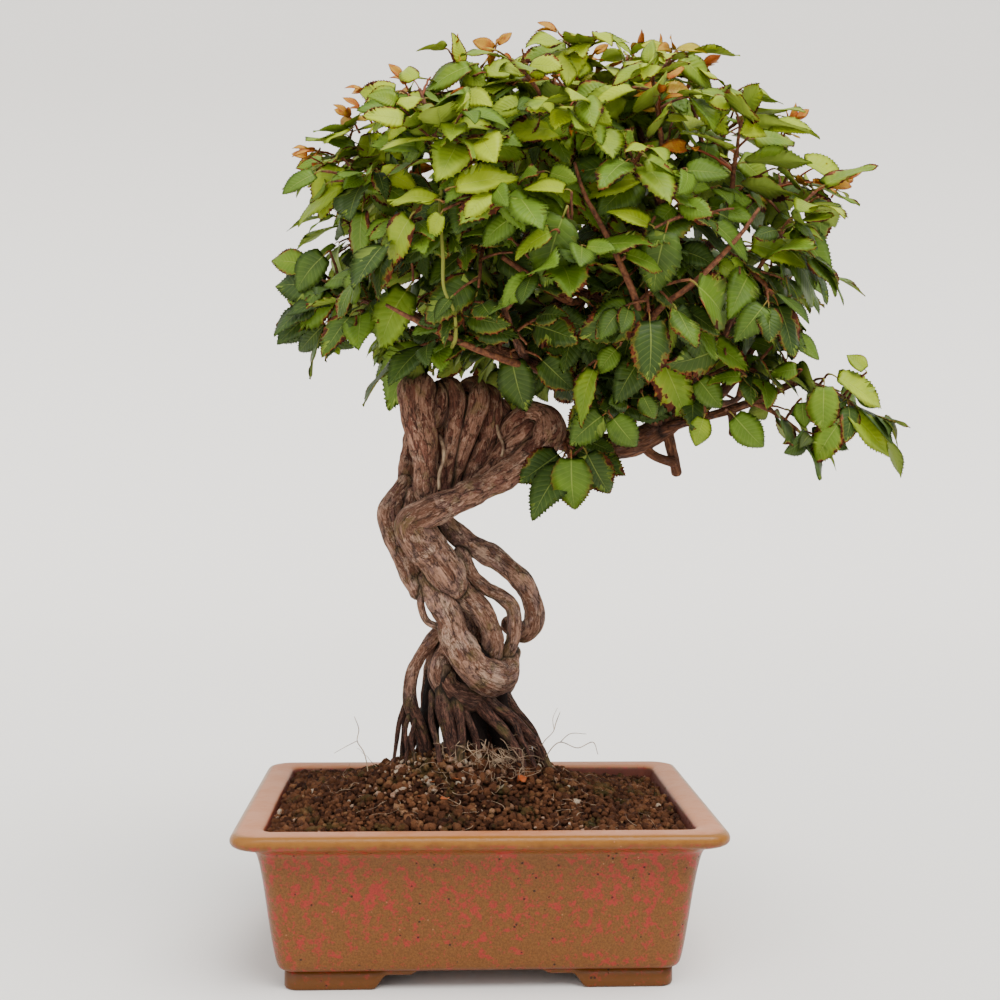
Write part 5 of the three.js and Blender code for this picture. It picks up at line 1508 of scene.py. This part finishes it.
def leaf_look(s, looks):
    """Leaves from a shaded to a lit green by their tone, which paints light on the crown's outside and top
    and shade inside it, with a pale midrib and faint sunk side veins, a greyer green below that is lightened
    as painted light through the leaf, some with scorched margins. Their stalks, their twigs and the dry
    litter on the soil have their own colours."""
    place = s.place()
    across, along, side = s.value("blade", "Vector").parts()
    tone, scorch, youth = s.value("leaf", "Vector").parts()
    kind = s.value("kind")
    wide = abs(across)
    mottle = place.noise(5, 3)
    shade = tone + (place.noise(13, 3) - 0.5) * 0.5
    # Painted light and shade: each leaf's tone, higher on the crown's outside and top, picks from the shaded
    # to the lit green
    green = shade.step(-0.1, 0.5).blend(looks.leaf_shaded, looks.leaf)
    green = shade.step(0.4, 1.05).blend(green, looks.leaf_lit)
    wave = s.maths("COSINE", along * (2 * math.pi * VEIN_PAIRS))
    side_vein = wave.step(0.8, 1.0) * wide.step(0.0, 0.12) * wide.step(1.0, 0.85)
    midrib = wide.step(0.05, 0.015)
    green = (midrib * 0.36).most(side_vein * 0.09).blend(green, looks.vein)
    # Underside colour: a paler green, lightened as painted light through the leaf
    below = (0.7 + midrib * 0.2).blend(green, looks.underside_with_painted_glow)
    bronze = (mottle + side * 0.2).step(0.4, 0.7).blend(looks.young, looks.young_red)
    burn = scorch * (place.noise(10, 3) - 0.47) * 2.2 + (place.noise(1.8, 3) - 0.5) * 0.24
    reach = wide + burn + along.step(0.7, 1.0) * scorch * 0.24
    burnt = reach.step(0.96, 1.01) * scorch.step(0.14, 0.24)
    yellow = reach.step(0.78, 1.03) * scorch.step(0.14, 0.24)
    stalk = place.noise(9, 2).step(0.35, 0.65).blend(looks.stalk, looks.stalk_red)
    twig = place.noise(2.5, 3).step(0.3, 0.7).blend(looks.twig_dark, looks.twig)
    base = green.over(
        (side.step(0.45, 0.6), below),
        (youth.step(0.2, 0.7) * 0.92, bronze),
        (yellow * 0.6, looks.yellowed),
        (burnt, mottle.step(0.4, 0.6).blend(looks.scorched, looks.scorched_dark)),
        (kind.step(0.2, 0.6), stalk),
        (kind.step(1.2, 1.6), twig.over((youth.step(0.3, 0.8), looks.stalk_red))),
        (kind.step(2.2, 2.6), (mottle.step(0.35, 0.65) * 0.5).blend(looks.scorched, looks.young_red)),
        (kind.step(3.2, 3.6), looks.stalk),
    )
    relief = (1 - wave) * 0.12 - midrib * 0.3 + place.noise(1.3, 2) * 0.15
    relief = relief * (1 - kind.step(0.2, 0.6))
    roughness = 0.44 + mottle * 0.14 + burnt * 0.35 + side.step(0.45, 0.6) * 0.25 + kind.step(0.2, 1.0) * 0.2
    return {
        "Base Color": base,
        "Roughness": roughness,
        "Normal": s.bump(relief, 0.5),
        "Specular IOR Level": 0.18,
    }


def rootlet_look(s, looks):
    """Fine pale roots, browner in places."""
    place = s.place()
    base = place.noise(6, 3).step(0.35, 0.7).blend(looks.rootlet, looks.rootlet_dark)
    return {"Base Color": base, "Roughness": 0.8, "Normal": s.bump(place.noise(0.7, 2), 0.1)}


def screen_look(s, looks):
    """Dark moulded mesh with a faint grain."""
    place = s.place()
    base = place.noise(3, 3).blend(looks.screen, looks.screen_dusty)
    return {"Base Color": base, "Roughness": 0.62, "Normal": s.bump(place.noise(0.5, 3), 0.08)}


def floor_look(s, looks):
    """A pale, even floor."""
    return {"Base Color": tuple(looks.floor), "Roughness": 0.75, "Specular IOR Level": 0.2}


# Sizes and colours that a user may change


def tint(title, text, red, green, blue):
    """A colour property with a display colour for its default."""
    shown = colour(red, green, blue)
    return bpy.props.FloatVectorProperty(
        name=title, description=text, default=shown, subtype="COLOR", size=4, min=0, max=1)


class PotLooks(bpy.types.PropertyGroup):
    """The pot's glaze and the drain screens' plastic."""

    ground: tint("Glaze", "Ochre ground of the glaze", 114, 70, 25)
    ground_dark: tint("Darker glaze", "Where the glaze runs thin", 88, 49, 13)
    foot: tint("Feet", "Glaze on the feet", 90, 50, 9)
    coral: tint("Coral", "Patches in the glaze", 154, 40, 34)
    coral_dark: tint("Deep coral", "Depths of the coral patches", 122, 30, 27)
    lip: tint("Lip", "Golden edge of the lip", 106, 60, 12)
    # This colour gives the glaze's golden flecks, and the painted highlight along the lip's top
    gold_fleck_and_lip_highlight: tint("Pale lip", "Where the lip's glaze is thinnest", 130, 82, 26)
    rim: tint("Rim", "Dry glaze on the rim's top", 172, 114, 80)
    rim_warm: tint("Warm rim", "Warmer patches on the rim", 166, 102, 62)
    inside: tint("Inside", "Bare inner wall", 74, 32, 22)
    inside_red: tint("Red inside", "Redder patches inside", 104, 48, 30)
    pit: tint("Pits", "Iron pits in the glaze", 34, 18, 12)
    screen: tint("Screen", "Plastic mesh over the drain holes", 22, 25, 22)
    screen_dusty: tint("Dusty screen", "Dust on the mesh", 42, 39, 33)
    roughness: bpy.props.FloatProperty(
        name="Roughness", description="Roughness of the glossiest glaze", default=0.24, min=0, max=1,
        subtype="FACTOR")


class SoilLooks(bpy.types.PropertyGroup):
    """The soil's grains and the fine roots on them."""

    pitch: bpy.props.FloatProperty(
        name="Grain spacing", description="Distance between grains", default=0.0042, min=0.002, max=0.01,
        unit="LENGTH")
    darkest: tint("Damp", "Darkest grains", 42, 20, 10)
    dark: tint("Dark", "Dark grains", 78, 44, 24)
    brown: tint("Brown", "Most grains", 118, 74, 46)
    moss: tint("Moss", "Green bloom on the grains", 62, 64, 26)
    ochre: tint("Ochre", "Ochre grains", 138, 100, 66)
    tan: tint("Tan", "Tan and pinkish grains", 168, 126, 102)
    pale: tint("Pale", "Whitish grains", 190, 172, 146)
    rootlet: tint("Rootlets", "Fine pale roots", 170, 142, 112)
    rootlet_dark: tint("Brown rootlets", "Older fine roots", 92, 64, 46)


class BarkLooks(bpy.types.PropertyGroup):
    """The bark of trunk, roots and limbs."""

    relief: bpy.props.FloatProperty(
        name="Relief", description="Height of flutes and ridges over a stem's radius", default=0.14, min=0,
        max=0.3, subtype="FACTOR")
    bark: tint("Upper bark", "Bark of the upper loops", 180, 126, 100)
    bark_dark: tint("Dark bark", "Sunk grain of the bark", 100, 64, 47)
    bark_pale: tint("Pale bark", "Raised grain of the bark", 174, 132, 108)
    bark_grey: tint("Grey flakes", "Thin grey flakes", 110, 84, 80)
    bark_red: tint("Bared bark", "Where flakes have come off", 98, 44, 30)
    # Pale worn bark, also a painted highlight on raised bark
    scuff_and_highlight: tint("Scuffs", "Pale scuffs on raised bark", 210, 176, 148)
    algae: tint("Green tint", "Thin green growth on the bark", 104, 98, 48)
    root: tint("Roots", "Bark of the roots", 96, 59, 46)
    root_dark: tint("Dark roots", "Sunk grain of the roots", 34, 18, 13)
    limb: tint("Limbs", "Bark of the crown's limbs", 134, 88, 62)
    limb_dark: tint("Dark limbs", "Shaded fibres of the limbs", 74, 42, 28)
    # Colour of real cracks, and of painted shade in creases between stems and on the root ball's core
    cracks_and_shade: tint("Crevices", "Cracks and creases", 16, 8, 5)


class LeafLooks(bpy.types.PropertyGroup):
    """Leaves, stalks and twigs."""

    side_shoot: bpy.props.FloatProperty(
        name="Side shoot", description="Length of the side shoots", default=0.036, min=0.01, max=0.08,
        unit="LENGTH")
    leaf: tint("Leaf", "Mature leaves", 91, 118, 27)
    # The dark and bright leaf colours are the shaded and lit ends of a painted light and shade
    leaf_shaded: tint("Dark leaf", "Leaves inside the crown", 46, 64, 20)
    leaf_lit: tint("Bright leaf", "Leaves on the outside", 162, 176, 30)
    # The underside's own paler green, lightened as painted light through the leaf
    underside_with_painted_glow: tint("Underside", "Undersides", 132, 150, 56)
    vein: tint("Veins", "Midrib and side veins", 164, 176, 80)
    young: tint("Young leaf", "Newest leaves", 188, 128, 34)
    young_red: tint("Red young leaf", "Reddest new leaves", 164, 70, 26)
    yellowed: tint("Yellowed", "Inside a scorched margin", 150, 130, 40)
    scorched: tint("Scorched", "Scorched margins", 138, 72, 36)
    scorched_dark: tint("Dark scorch", "Crisp edges", 76, 36, 20)
    stalk: tint("Stalk", "Leaf stalks", 126, 128, 52)
    stalk_red: tint("Red stalk", "Stalks in the sun", 130, 66, 40)
    twig: tint("Twig", "Twigs", 128, 80, 52)
    twig_dark: tint("Dark twig", "Older twigs", 74, 42, 28)


class StageLooks(bpy.types.PropertyGroup):
    """Floor and light."""

    floor: tint("Floor", "The floor", 236, 230, 222)
    light: bpy.props.FloatProperty(
        name="Light", description="Strength of the key light", default=4.6, min=0, max=20)
    sky: bpy.props.FloatProperty(
        name="Surrounding light", description="Strength of the even light", default=1.0, min=0, max=5)


# Operators


class BONSAI_OT_pot(bpy.types.Operator):
    """Make the glazed pot with its drained floor and bracket feet, and dress the drain screens"""

    bl_idname = "bonsai.pot"
    bl_label = "Pot"

    def execute(self, context):
        looks = context.scene.bonsai_pot
        surface = Surface()
        points, faces, values = pot_wall()
        surface.add(points, faces, **values)
        rest = [drained_floor(-1), drained_floor(1)]
        rest += [bracket_foot(sx, sy) for sx, sy in ((1, 1), (-1, 1), (-1, -1), (1, -1))]
        for points, faces in rest:
            surface.add(points, faces, inset=FOOT_INSET, inner=0)
        surface.piece("glazed_pot", finished("speckled_glaze", glaze_look, looks), "glaze", ["pot"])
        screen = finished("screen_mesh", screen_look, looks)
        for node in ("drain_screen_left", "drain_screen_right"):
            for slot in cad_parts[node].material_slots:
                slot.material = screen
        return {"FINISHED"}


class BONSAI_OT_soil(bpy.types.Operator):
    """Make the soil bed and its layers of grains"""

    bl_idname = "bonsai.soil"
    bl_label = "Soil"

    def execute(self, context):
        looks = context.scene.bonsai_soil
        material = finished("clay_grains", grain_look, looks)
        bed = Surface()
        points, faces = soil_bed()
        bed.add(points, faces, tone=0.12)
        bed.piece("soil_bed", material, "soil", ["soil"])
        rng = np.random.default_rng(SOIL_SEED)
        half_x, half_y = RIM_HALF_X - WALL_TOP_INSET - 2.6, RIM_HALF_Y - WALL_TOP_INSET - 2.6
        layers = ((looks.pitch / MM, 2.3, 0.1, 2, 6, "soil_grains_lower"),
                  (looks.pitch / MM * 1.2, 1.9, 1.5, 3, 7, "soil_grains_upper"))
        for pitch, size, lift, rings, sides, name in layers:
            places = scattered(rng, pitch, half_x, half_y)
            radii = size * rng.lognormal(0, 0.32, len(places)).clip(0.45, 1.8)
            z = mound_level(*places.T) + lift + rng.uniform(-0.5, 0.7, len(places))
            tone = rng.beta(2.2, 3.0, len(places)) * 0.76
            near = np.exp(-((places[:, 0] + 30) ** 2 / 34**2 + (places[:, 1] + 24) ** 2 / 24**2))
            special = rng.random(len(places)) < 0.04 + 0.56 * near
            tone[special] = rng.uniform(0.72, 0.98, special.sum())
            radii[special] *= 0.8
            points, faces = grains(rng, np.column_stack([places, z]), radii, rings, sides)
            surface = Surface()
            surface.add(points, faces, tone=tone[:, None])
            surface.piece(name, material, "soil")
        return {"FINISHED"}


class BONSAI_OT_wood(bpy.types.Operator):
    """Make the braided trunk, the roots, the limbs and the cut pegs"""

    bl_idname = "bonsai.wood"
    bl_label = "Trunk, roots and limbs"

    def execute(self, context):
        looks = context.scene.bonsai_bark
        material = finished("flaked_bark", bark_look, looks)
        lines = all_stems()
        groups = (
            ("trunk", TRUNK_STEMS, 0, 36, 1.7, 0, ["tree"]),
            ("roots", ROOTS, len(TRUNK_STEMS), 20, 1.9, 1, []),
            ("limbs", LIMBS, len(TRUNK_STEMS) + len(ROOTS), 13, 3, 2, []),
        )
        more = {0: INNER_STEMS, 1: SIDE_ROOTS, 2: PEGS}
        # Roots of kind 3, the thick central one here, are coloured near black as painted shade
        root_kinds_with_shaded_core = {0: 0.62, 2: 0.72, len(ROOTS) - 1: 3}
        for name, routes, first, sides, step, kind, replaced in groups:
            surface = Surface()
            for k, route in enumerate(routes):
                others = np.vstack([line for n, line in enumerate(lines) if n != first + k])
                own = root_kinds_with_shaded_core.get(k, kind) if kind == 1 else kind
                seed = 100 * (kind + 1) + 3 * k
                stem_surface(surface, route, sides, step, seed, looks.relief, own, others)
            every = np.vstack(lines)
            if kind == 0:
                stem_surface(surface, ELBOW, 36, step, 651, looks.relief, kind)
            if kind == 1:
                # The root ball's core stems, kind 3, painted near black as shade
                for k, route in enumerate(SHADED_ROOT_CORE):
                    stem_surface(surface, route, 16, 3, 670 + 3 * k, looks.relief, 3)
            for k, route in enumerate(more[kind]):
                others = None if kind == 2 else every
                stem_surface(surface, route, 16, step, 700 + 40 * kind + 3 * k, looks.relief, kind, others)
            surface.piece(name, material, "bark", replaced)
        return {"FINISHED"}


class BONSAI_OT_foliage(bpy.types.Operator):
    """Make the leafy stems: the CAD source's twigs and leaves in finer form, and side shoots"""

    bl_idname = "bonsai.foliage"
    bl_label = "Leafy stems"

    def execute(self, context):
        looks = context.scene.bonsai_leaves
        material = finished("foliage", leaf_look, looks)
        rng = np.random.default_rng(CROWN_SEED)
        limbs = limb_points()
        twigs = grow_twigs(limbs)
        grow_leaves(twigs, limbs)
        crown = Crown(rng)
        shown = [crown.placed(row) for row in SHOWN_LEAVES]
        kept = [[crown.kept(leaf) for leaf in twig.leaves] for twig in twigs]
        for index, (twig, leaves) in enumerate(zip(twigs, kept)):
            surface = Surface()
            twig.youth = 0.15
            add_twig(surface, twig, (1.9, 0.95), index)
            along = twig.length()
            shoots = int(np.clip(round(along / 17), 2, 5))
            for k, share in enumerate(np.linspace(0.22, 0.9, shoots)):
                forward, upper, sideways = twig.axes(share)
                start = twig.point(share)
                outward = unit(start - CROWN_MIDDLE)
                hand = 1 if k % 2 else -1
                direction = forward * rng.uniform(0.3, 0.8) + sideways * hand * rng.uniform(0.5, 1)
                direction = unit(direction + UP * rng.uniform(-0.2, 0.5) + outward * 0.25)
                length = looks.side_shoot / MM * rng.uniform(0.6, 1.25) * (1 - 0.35 * share)
                young = start[2] > 505 - 0.1 * start[0] and rng.random() < 0.36
                youth = rng.uniform(0.6, 1) if young else rng.uniform(0, 0.3)
                side, made = crown.shoot(start, direction, length, rng.integers(2, 5), youth)
                add_twig(surface, side, (0.95, 0.6), index + 60 * k)
                leaves = leaves + made
            add_leaves(surface, leaves)
            surface.piece(f"leafy_stem_{index + 1:02d}", material, "leaf", [f"spray_{index + 1:02d}"])
        self.fill(material, rng, crown, limbs, twigs, shown)
        return {"FINISHED"}

    def fill(self, material, rng, crown, limbs, twigs, shown):
        """Shoots between the leafy stems, the listed leaves, young shoots and one hanging shoot."""
        starts = np.vstack([limbs[:, :3], *[twig.line(12)[3:10] for twig in twigs]])
        tips = [np.array(tip, float) for tip in LOW_TIPS]
        for k in range(FILLING_SHOOTS):
            toward = spiral_direction(k, FILLING_SHOOTS, 1.3)
            tips.append(CROWN_MIDDLE + toward * crown_reach(toward)[0] * rng.uniform(0.55, 0.97))
        surfaces = [Surface() for _ in range(4)]
        for k, tip in enumerate(tips):
            start = starts[np.argmin(norm(starts - tip, axis=1))]
            way = tip - start
            length = float(np.clip(norm(way), 22, 64))
            youth = rng.uniform(0, 0.25)
            side, made = crown.shoot(start, unit(way + UP * 4), length, rng.integers(4, 7), youth, 43)
            surface = surfaces[k % 4]
            add_twig(surface, side, (1.15, 0.65), k)
            add_leaves(surface, made)
        for leaf in shown:
            start = starts[np.argmin(norm(starts - leaf["foot"], axis=1))]
            add_twig(surfaces[0], Twig(start, leaf["foot"], 0, 0.1), (1.1, 0.8), 5)
        add_leaves(surfaces[0], shown)
        for route, kind in [(HANGING_SHOOT, 4)] + [(twig, 2) for twig in FRONT_TWIGS]:
            surfaces[2].add(*route_tube(route, 2, 8), blade=(0, 0, 0), leaf=(0.5, 0, 0), kind=kind)
        for k, (start, tip) in enumerate(YOUNG_SHOOTS):
            start, tip = np.array(start, float), np.array(tip, float)
            way = tip - start
            side, made = crown.shoot(start, unit(way), norm(way), 4, 1.0, 30)
            add_twig(surfaces[1], side, (0.9, 0.5), k)
            add_leaves(surfaces[1], made)
        for k, surface in enumerate(surfaces):
            surface.piece(f"inner_shoots_{k + 1}", material, "leaf")


class BONSAI_OT_rootlets(bpy.types.Operator):
    """Make the fine roots round the root base, on the soil and on the trunk, and the dry leaf scraps"""

    bl_idname = "bonsai.rootlets"
    bl_label = "Fine roots and litter"

    def execute(self, context):
        rng = np.random.default_rng(ROOTLET_SEED)
        material = finished("fine_roots", rootlet_look, context.scene.bonsai_soil)
        surface = Surface()
        turn = rng.normal(-1.1, 0.75, 46)
        reach = rng.uniform(12, 24, len(turn))
        x, y = 4 + reach * np.cos(turn), -6 + reach * np.sin(turn)
        starts = np.stack([x, y, mound_level(x, y) + rng.uniform(1, 16, len(turn))], axis=1)
        ways = np.stack([np.cos(turn), np.sin(turn), rng.uniform(-0.8, 0, len(turn))], axis=1)
        hair = threads(rng, starts, ways, rng.uniform(14, 42, len(turn)), 0.22, 0.16)
        thread_surface(surface, hair, rng.uniform(0.2, 0.42, len(hair)), 0.12)
        picked = rng.integers(0, len(hair), 90)
        starts = hair[picked, rng.integers(3, 11, len(picked))]
        ways = rng.normal(0, 1, starts.shape) + np.array([0, 0, -0.6])
        forks = threads(rng, starts, ways, rng.uniform(6, 16, len(picked)), 0.3, 0.14, 8)
        thread_surface(surface, forks, np.full(len(forks), 0.2), 0.1)
        places = np.stack([rng.uniform(-90, 110, 70), rng.uniform(-86, 10, 70)], axis=1)
        starts = np.column_stack([places, mound_level(*places.T) + 2.4])
        ways = rng.normal(0, 1, starts.shape) * np.array([1, 1, 0.1])
        loose = threads(rng, starts, ways, rng.uniform(8, 26, len(starts)), 0.3, 0.12, 10)
        thread_surface(surface, loose, rng.uniform(0.15, 0.3, len(loose)), 0.1)
        for route in TRUNK_THREADS + WISPS:
            surface.add(*route_tube(route, 1.6, 6))
        surface.piece("fine_roots", material, "bark")
        litter = Surface()
        places = rng.uniform((-110, -80), (110, 60), (5, 2))
        places = np.concatenate([rng.normal((-30, -46), (14, 8), (4, 2)), places])
        add_litter(litter, rng, np.column_stack([places, mound_level(*places.T) + 3.4]))
        litter.piece("leaf_litter", finished("litter", leaf_look, context.scene.bonsai_leaves), "leaf")
        return {"FINISHED"}


class BONSAI_OT_stage(bpy.types.Operator):
    """Make the pale floor, which curves up far behind, the soft light and the camera"""

    bl_idname = "bonsai.stage"
    bl_label = "Stage"

    def execute(self, context):
        looks = context.scene.bonsai_stage
        mesh = bpy.data.meshes.new("floor")
        quarter = np.linspace(0, np.pi / 2, 33)
        sweep = SWEEP_RADIUS * np.sin(quarter), SWEEP_RADIUS * (1 - np.cos(quarter))
        y = np.concatenate([[FLOOR_NEAR], SWEEP_START + sweep[0], [SWEEP_START + SWEEP_RADIUS]])
        z = np.concatenate([[0], sweep[1], [WALL_TOP]])
        x = np.array([-FLOOR_HALF_WIDTH, FLOOR_HALF_WIDTH])
        points = np.stack(np.broadcast_arrays(x, y[:, None], z[:, None]), axis=-1).reshape(-1, 3)
        first = 2 * np.arange(len(y) - 1)[:, None]
        mesh.from_pydata(points.tolist(), [], (first + np.array([0, 1, 3, 2])).tolist())
        mesh.polygons.foreach_set("use_smooth", np.full(len(first), True))
        mesh.materials.append(finished("floor", floor_look, looks))
        linked("floor", mesh)
        for name, (way, spread, share) in LIGHTS.items():
            light = bpy.data.lights.new(name, "SUN")
            light.angle = spread
            light.energy = looks.light * share
            linked(name, light).rotation_euler = Vector(way).to_track_quat("Z", "Y").to_euler()
        world = context.scene.world or bpy.data.worlds.new("surroundings")
        context.scene.world = world
        world.use_nodes = True
        background = world.node_tree.nodes["Background"]
        background.inputs["Color"].default_value = colour(226, 236, 246)
        background.inputs["Strength"].default_value = looks.sky
        self.camera(context)
        return {"FINISHED"}

    def camera(self, context):
        """The camera: turned by its yaw round the pot's middle, pitched down and rolled."""
        camera = bpy.data.cameras.new("camera")
        camera.sensor_width = SENSOR_WIDTH
        camera.lens = FOCAL_LENGTH / VIEW_WIDTH * SENSOR_WIDTH
        camera.shift_x = (VIEW_WIDTH / 2 - OPTICAL_X) / VIEW_WIDTH
        camera.clip_start = 0.05
        yaw = Matrix.Rotation(-CAMERA_YAW, 4, "Z")
        pitch = Matrix.Rotation(math.pi / 2 - CAMERA_PITCH, 4, "X")
        roll = Matrix.Rotation(-CAMERA_ROLL, 4, "Z")
        place = Matrix.Translation(Vector(CAMERA_PLACE) * MM)
        made = linked("camera", camera)
        made.matrix_world = Matrix.Translation(ZERO) @ yaw @ place @ pitch @ roll
        context.scene.camera = made


class BONSAI_PT_sidebar(bpy.types.Panel):
    """The bonsai's settings and steps."""

    bl_idname = "BONSAI_PT_sidebar"
    bl_label = "Bonsai"
    bl_space_type = "VIEW_3D"
    bl_region_type = "UI"
    bl_category = "Bonsai"

    def draw(self, context):
        for name, (_, *operators) in STEPS.items():
            box = self.layout.box()
            looks = getattr(context.scene, name)
            for key in looks.__annotations__:
                box.prop(looks, key)
            for operator in operators:
                box.operator(operator.bl_idname)


STEPS = {
    "bonsai_pot": (PotLooks, BONSAI_OT_pot),
    "bonsai_soil": (SoilLooks, BONSAI_OT_soil, BONSAI_OT_rootlets),
    "bonsai_bark": (BarkLooks, BONSAI_OT_wood),
    "bonsai_leaves": (LeafLooks, BONSAI_OT_foliage),
    "bonsai_stage": (StageLooks, BONSAI_OT_stage),
}
CLASSES = (*(made for step in STEPS.values() for made in step), BONSAI_PT_sidebar)


def register():
    for made in CLASSES:
        bpy.utils.register_class(made)
    for name, step in STEPS.items():
        setattr(bpy.types.Scene, name, bpy.props.PointerProperty(type=step[0]))


def unregister():
    for name in STEPS:
        delattr(bpy.types.Scene, name)
    for made in reversed(CLASSES):
        bpy.utils.unregister_class(made)


def main():
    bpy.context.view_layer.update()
    register()
    bpy.ops.bonsai.pot()
    bpy.ops.bonsai.soil()
    bpy.ops.bonsai.wood()
    bpy.ops.bonsai.foliage()
    bpy.ops.bonsai.rootlets()
    bpy.ops.bonsai.stage()


if __name__ == "__main__":
    main()
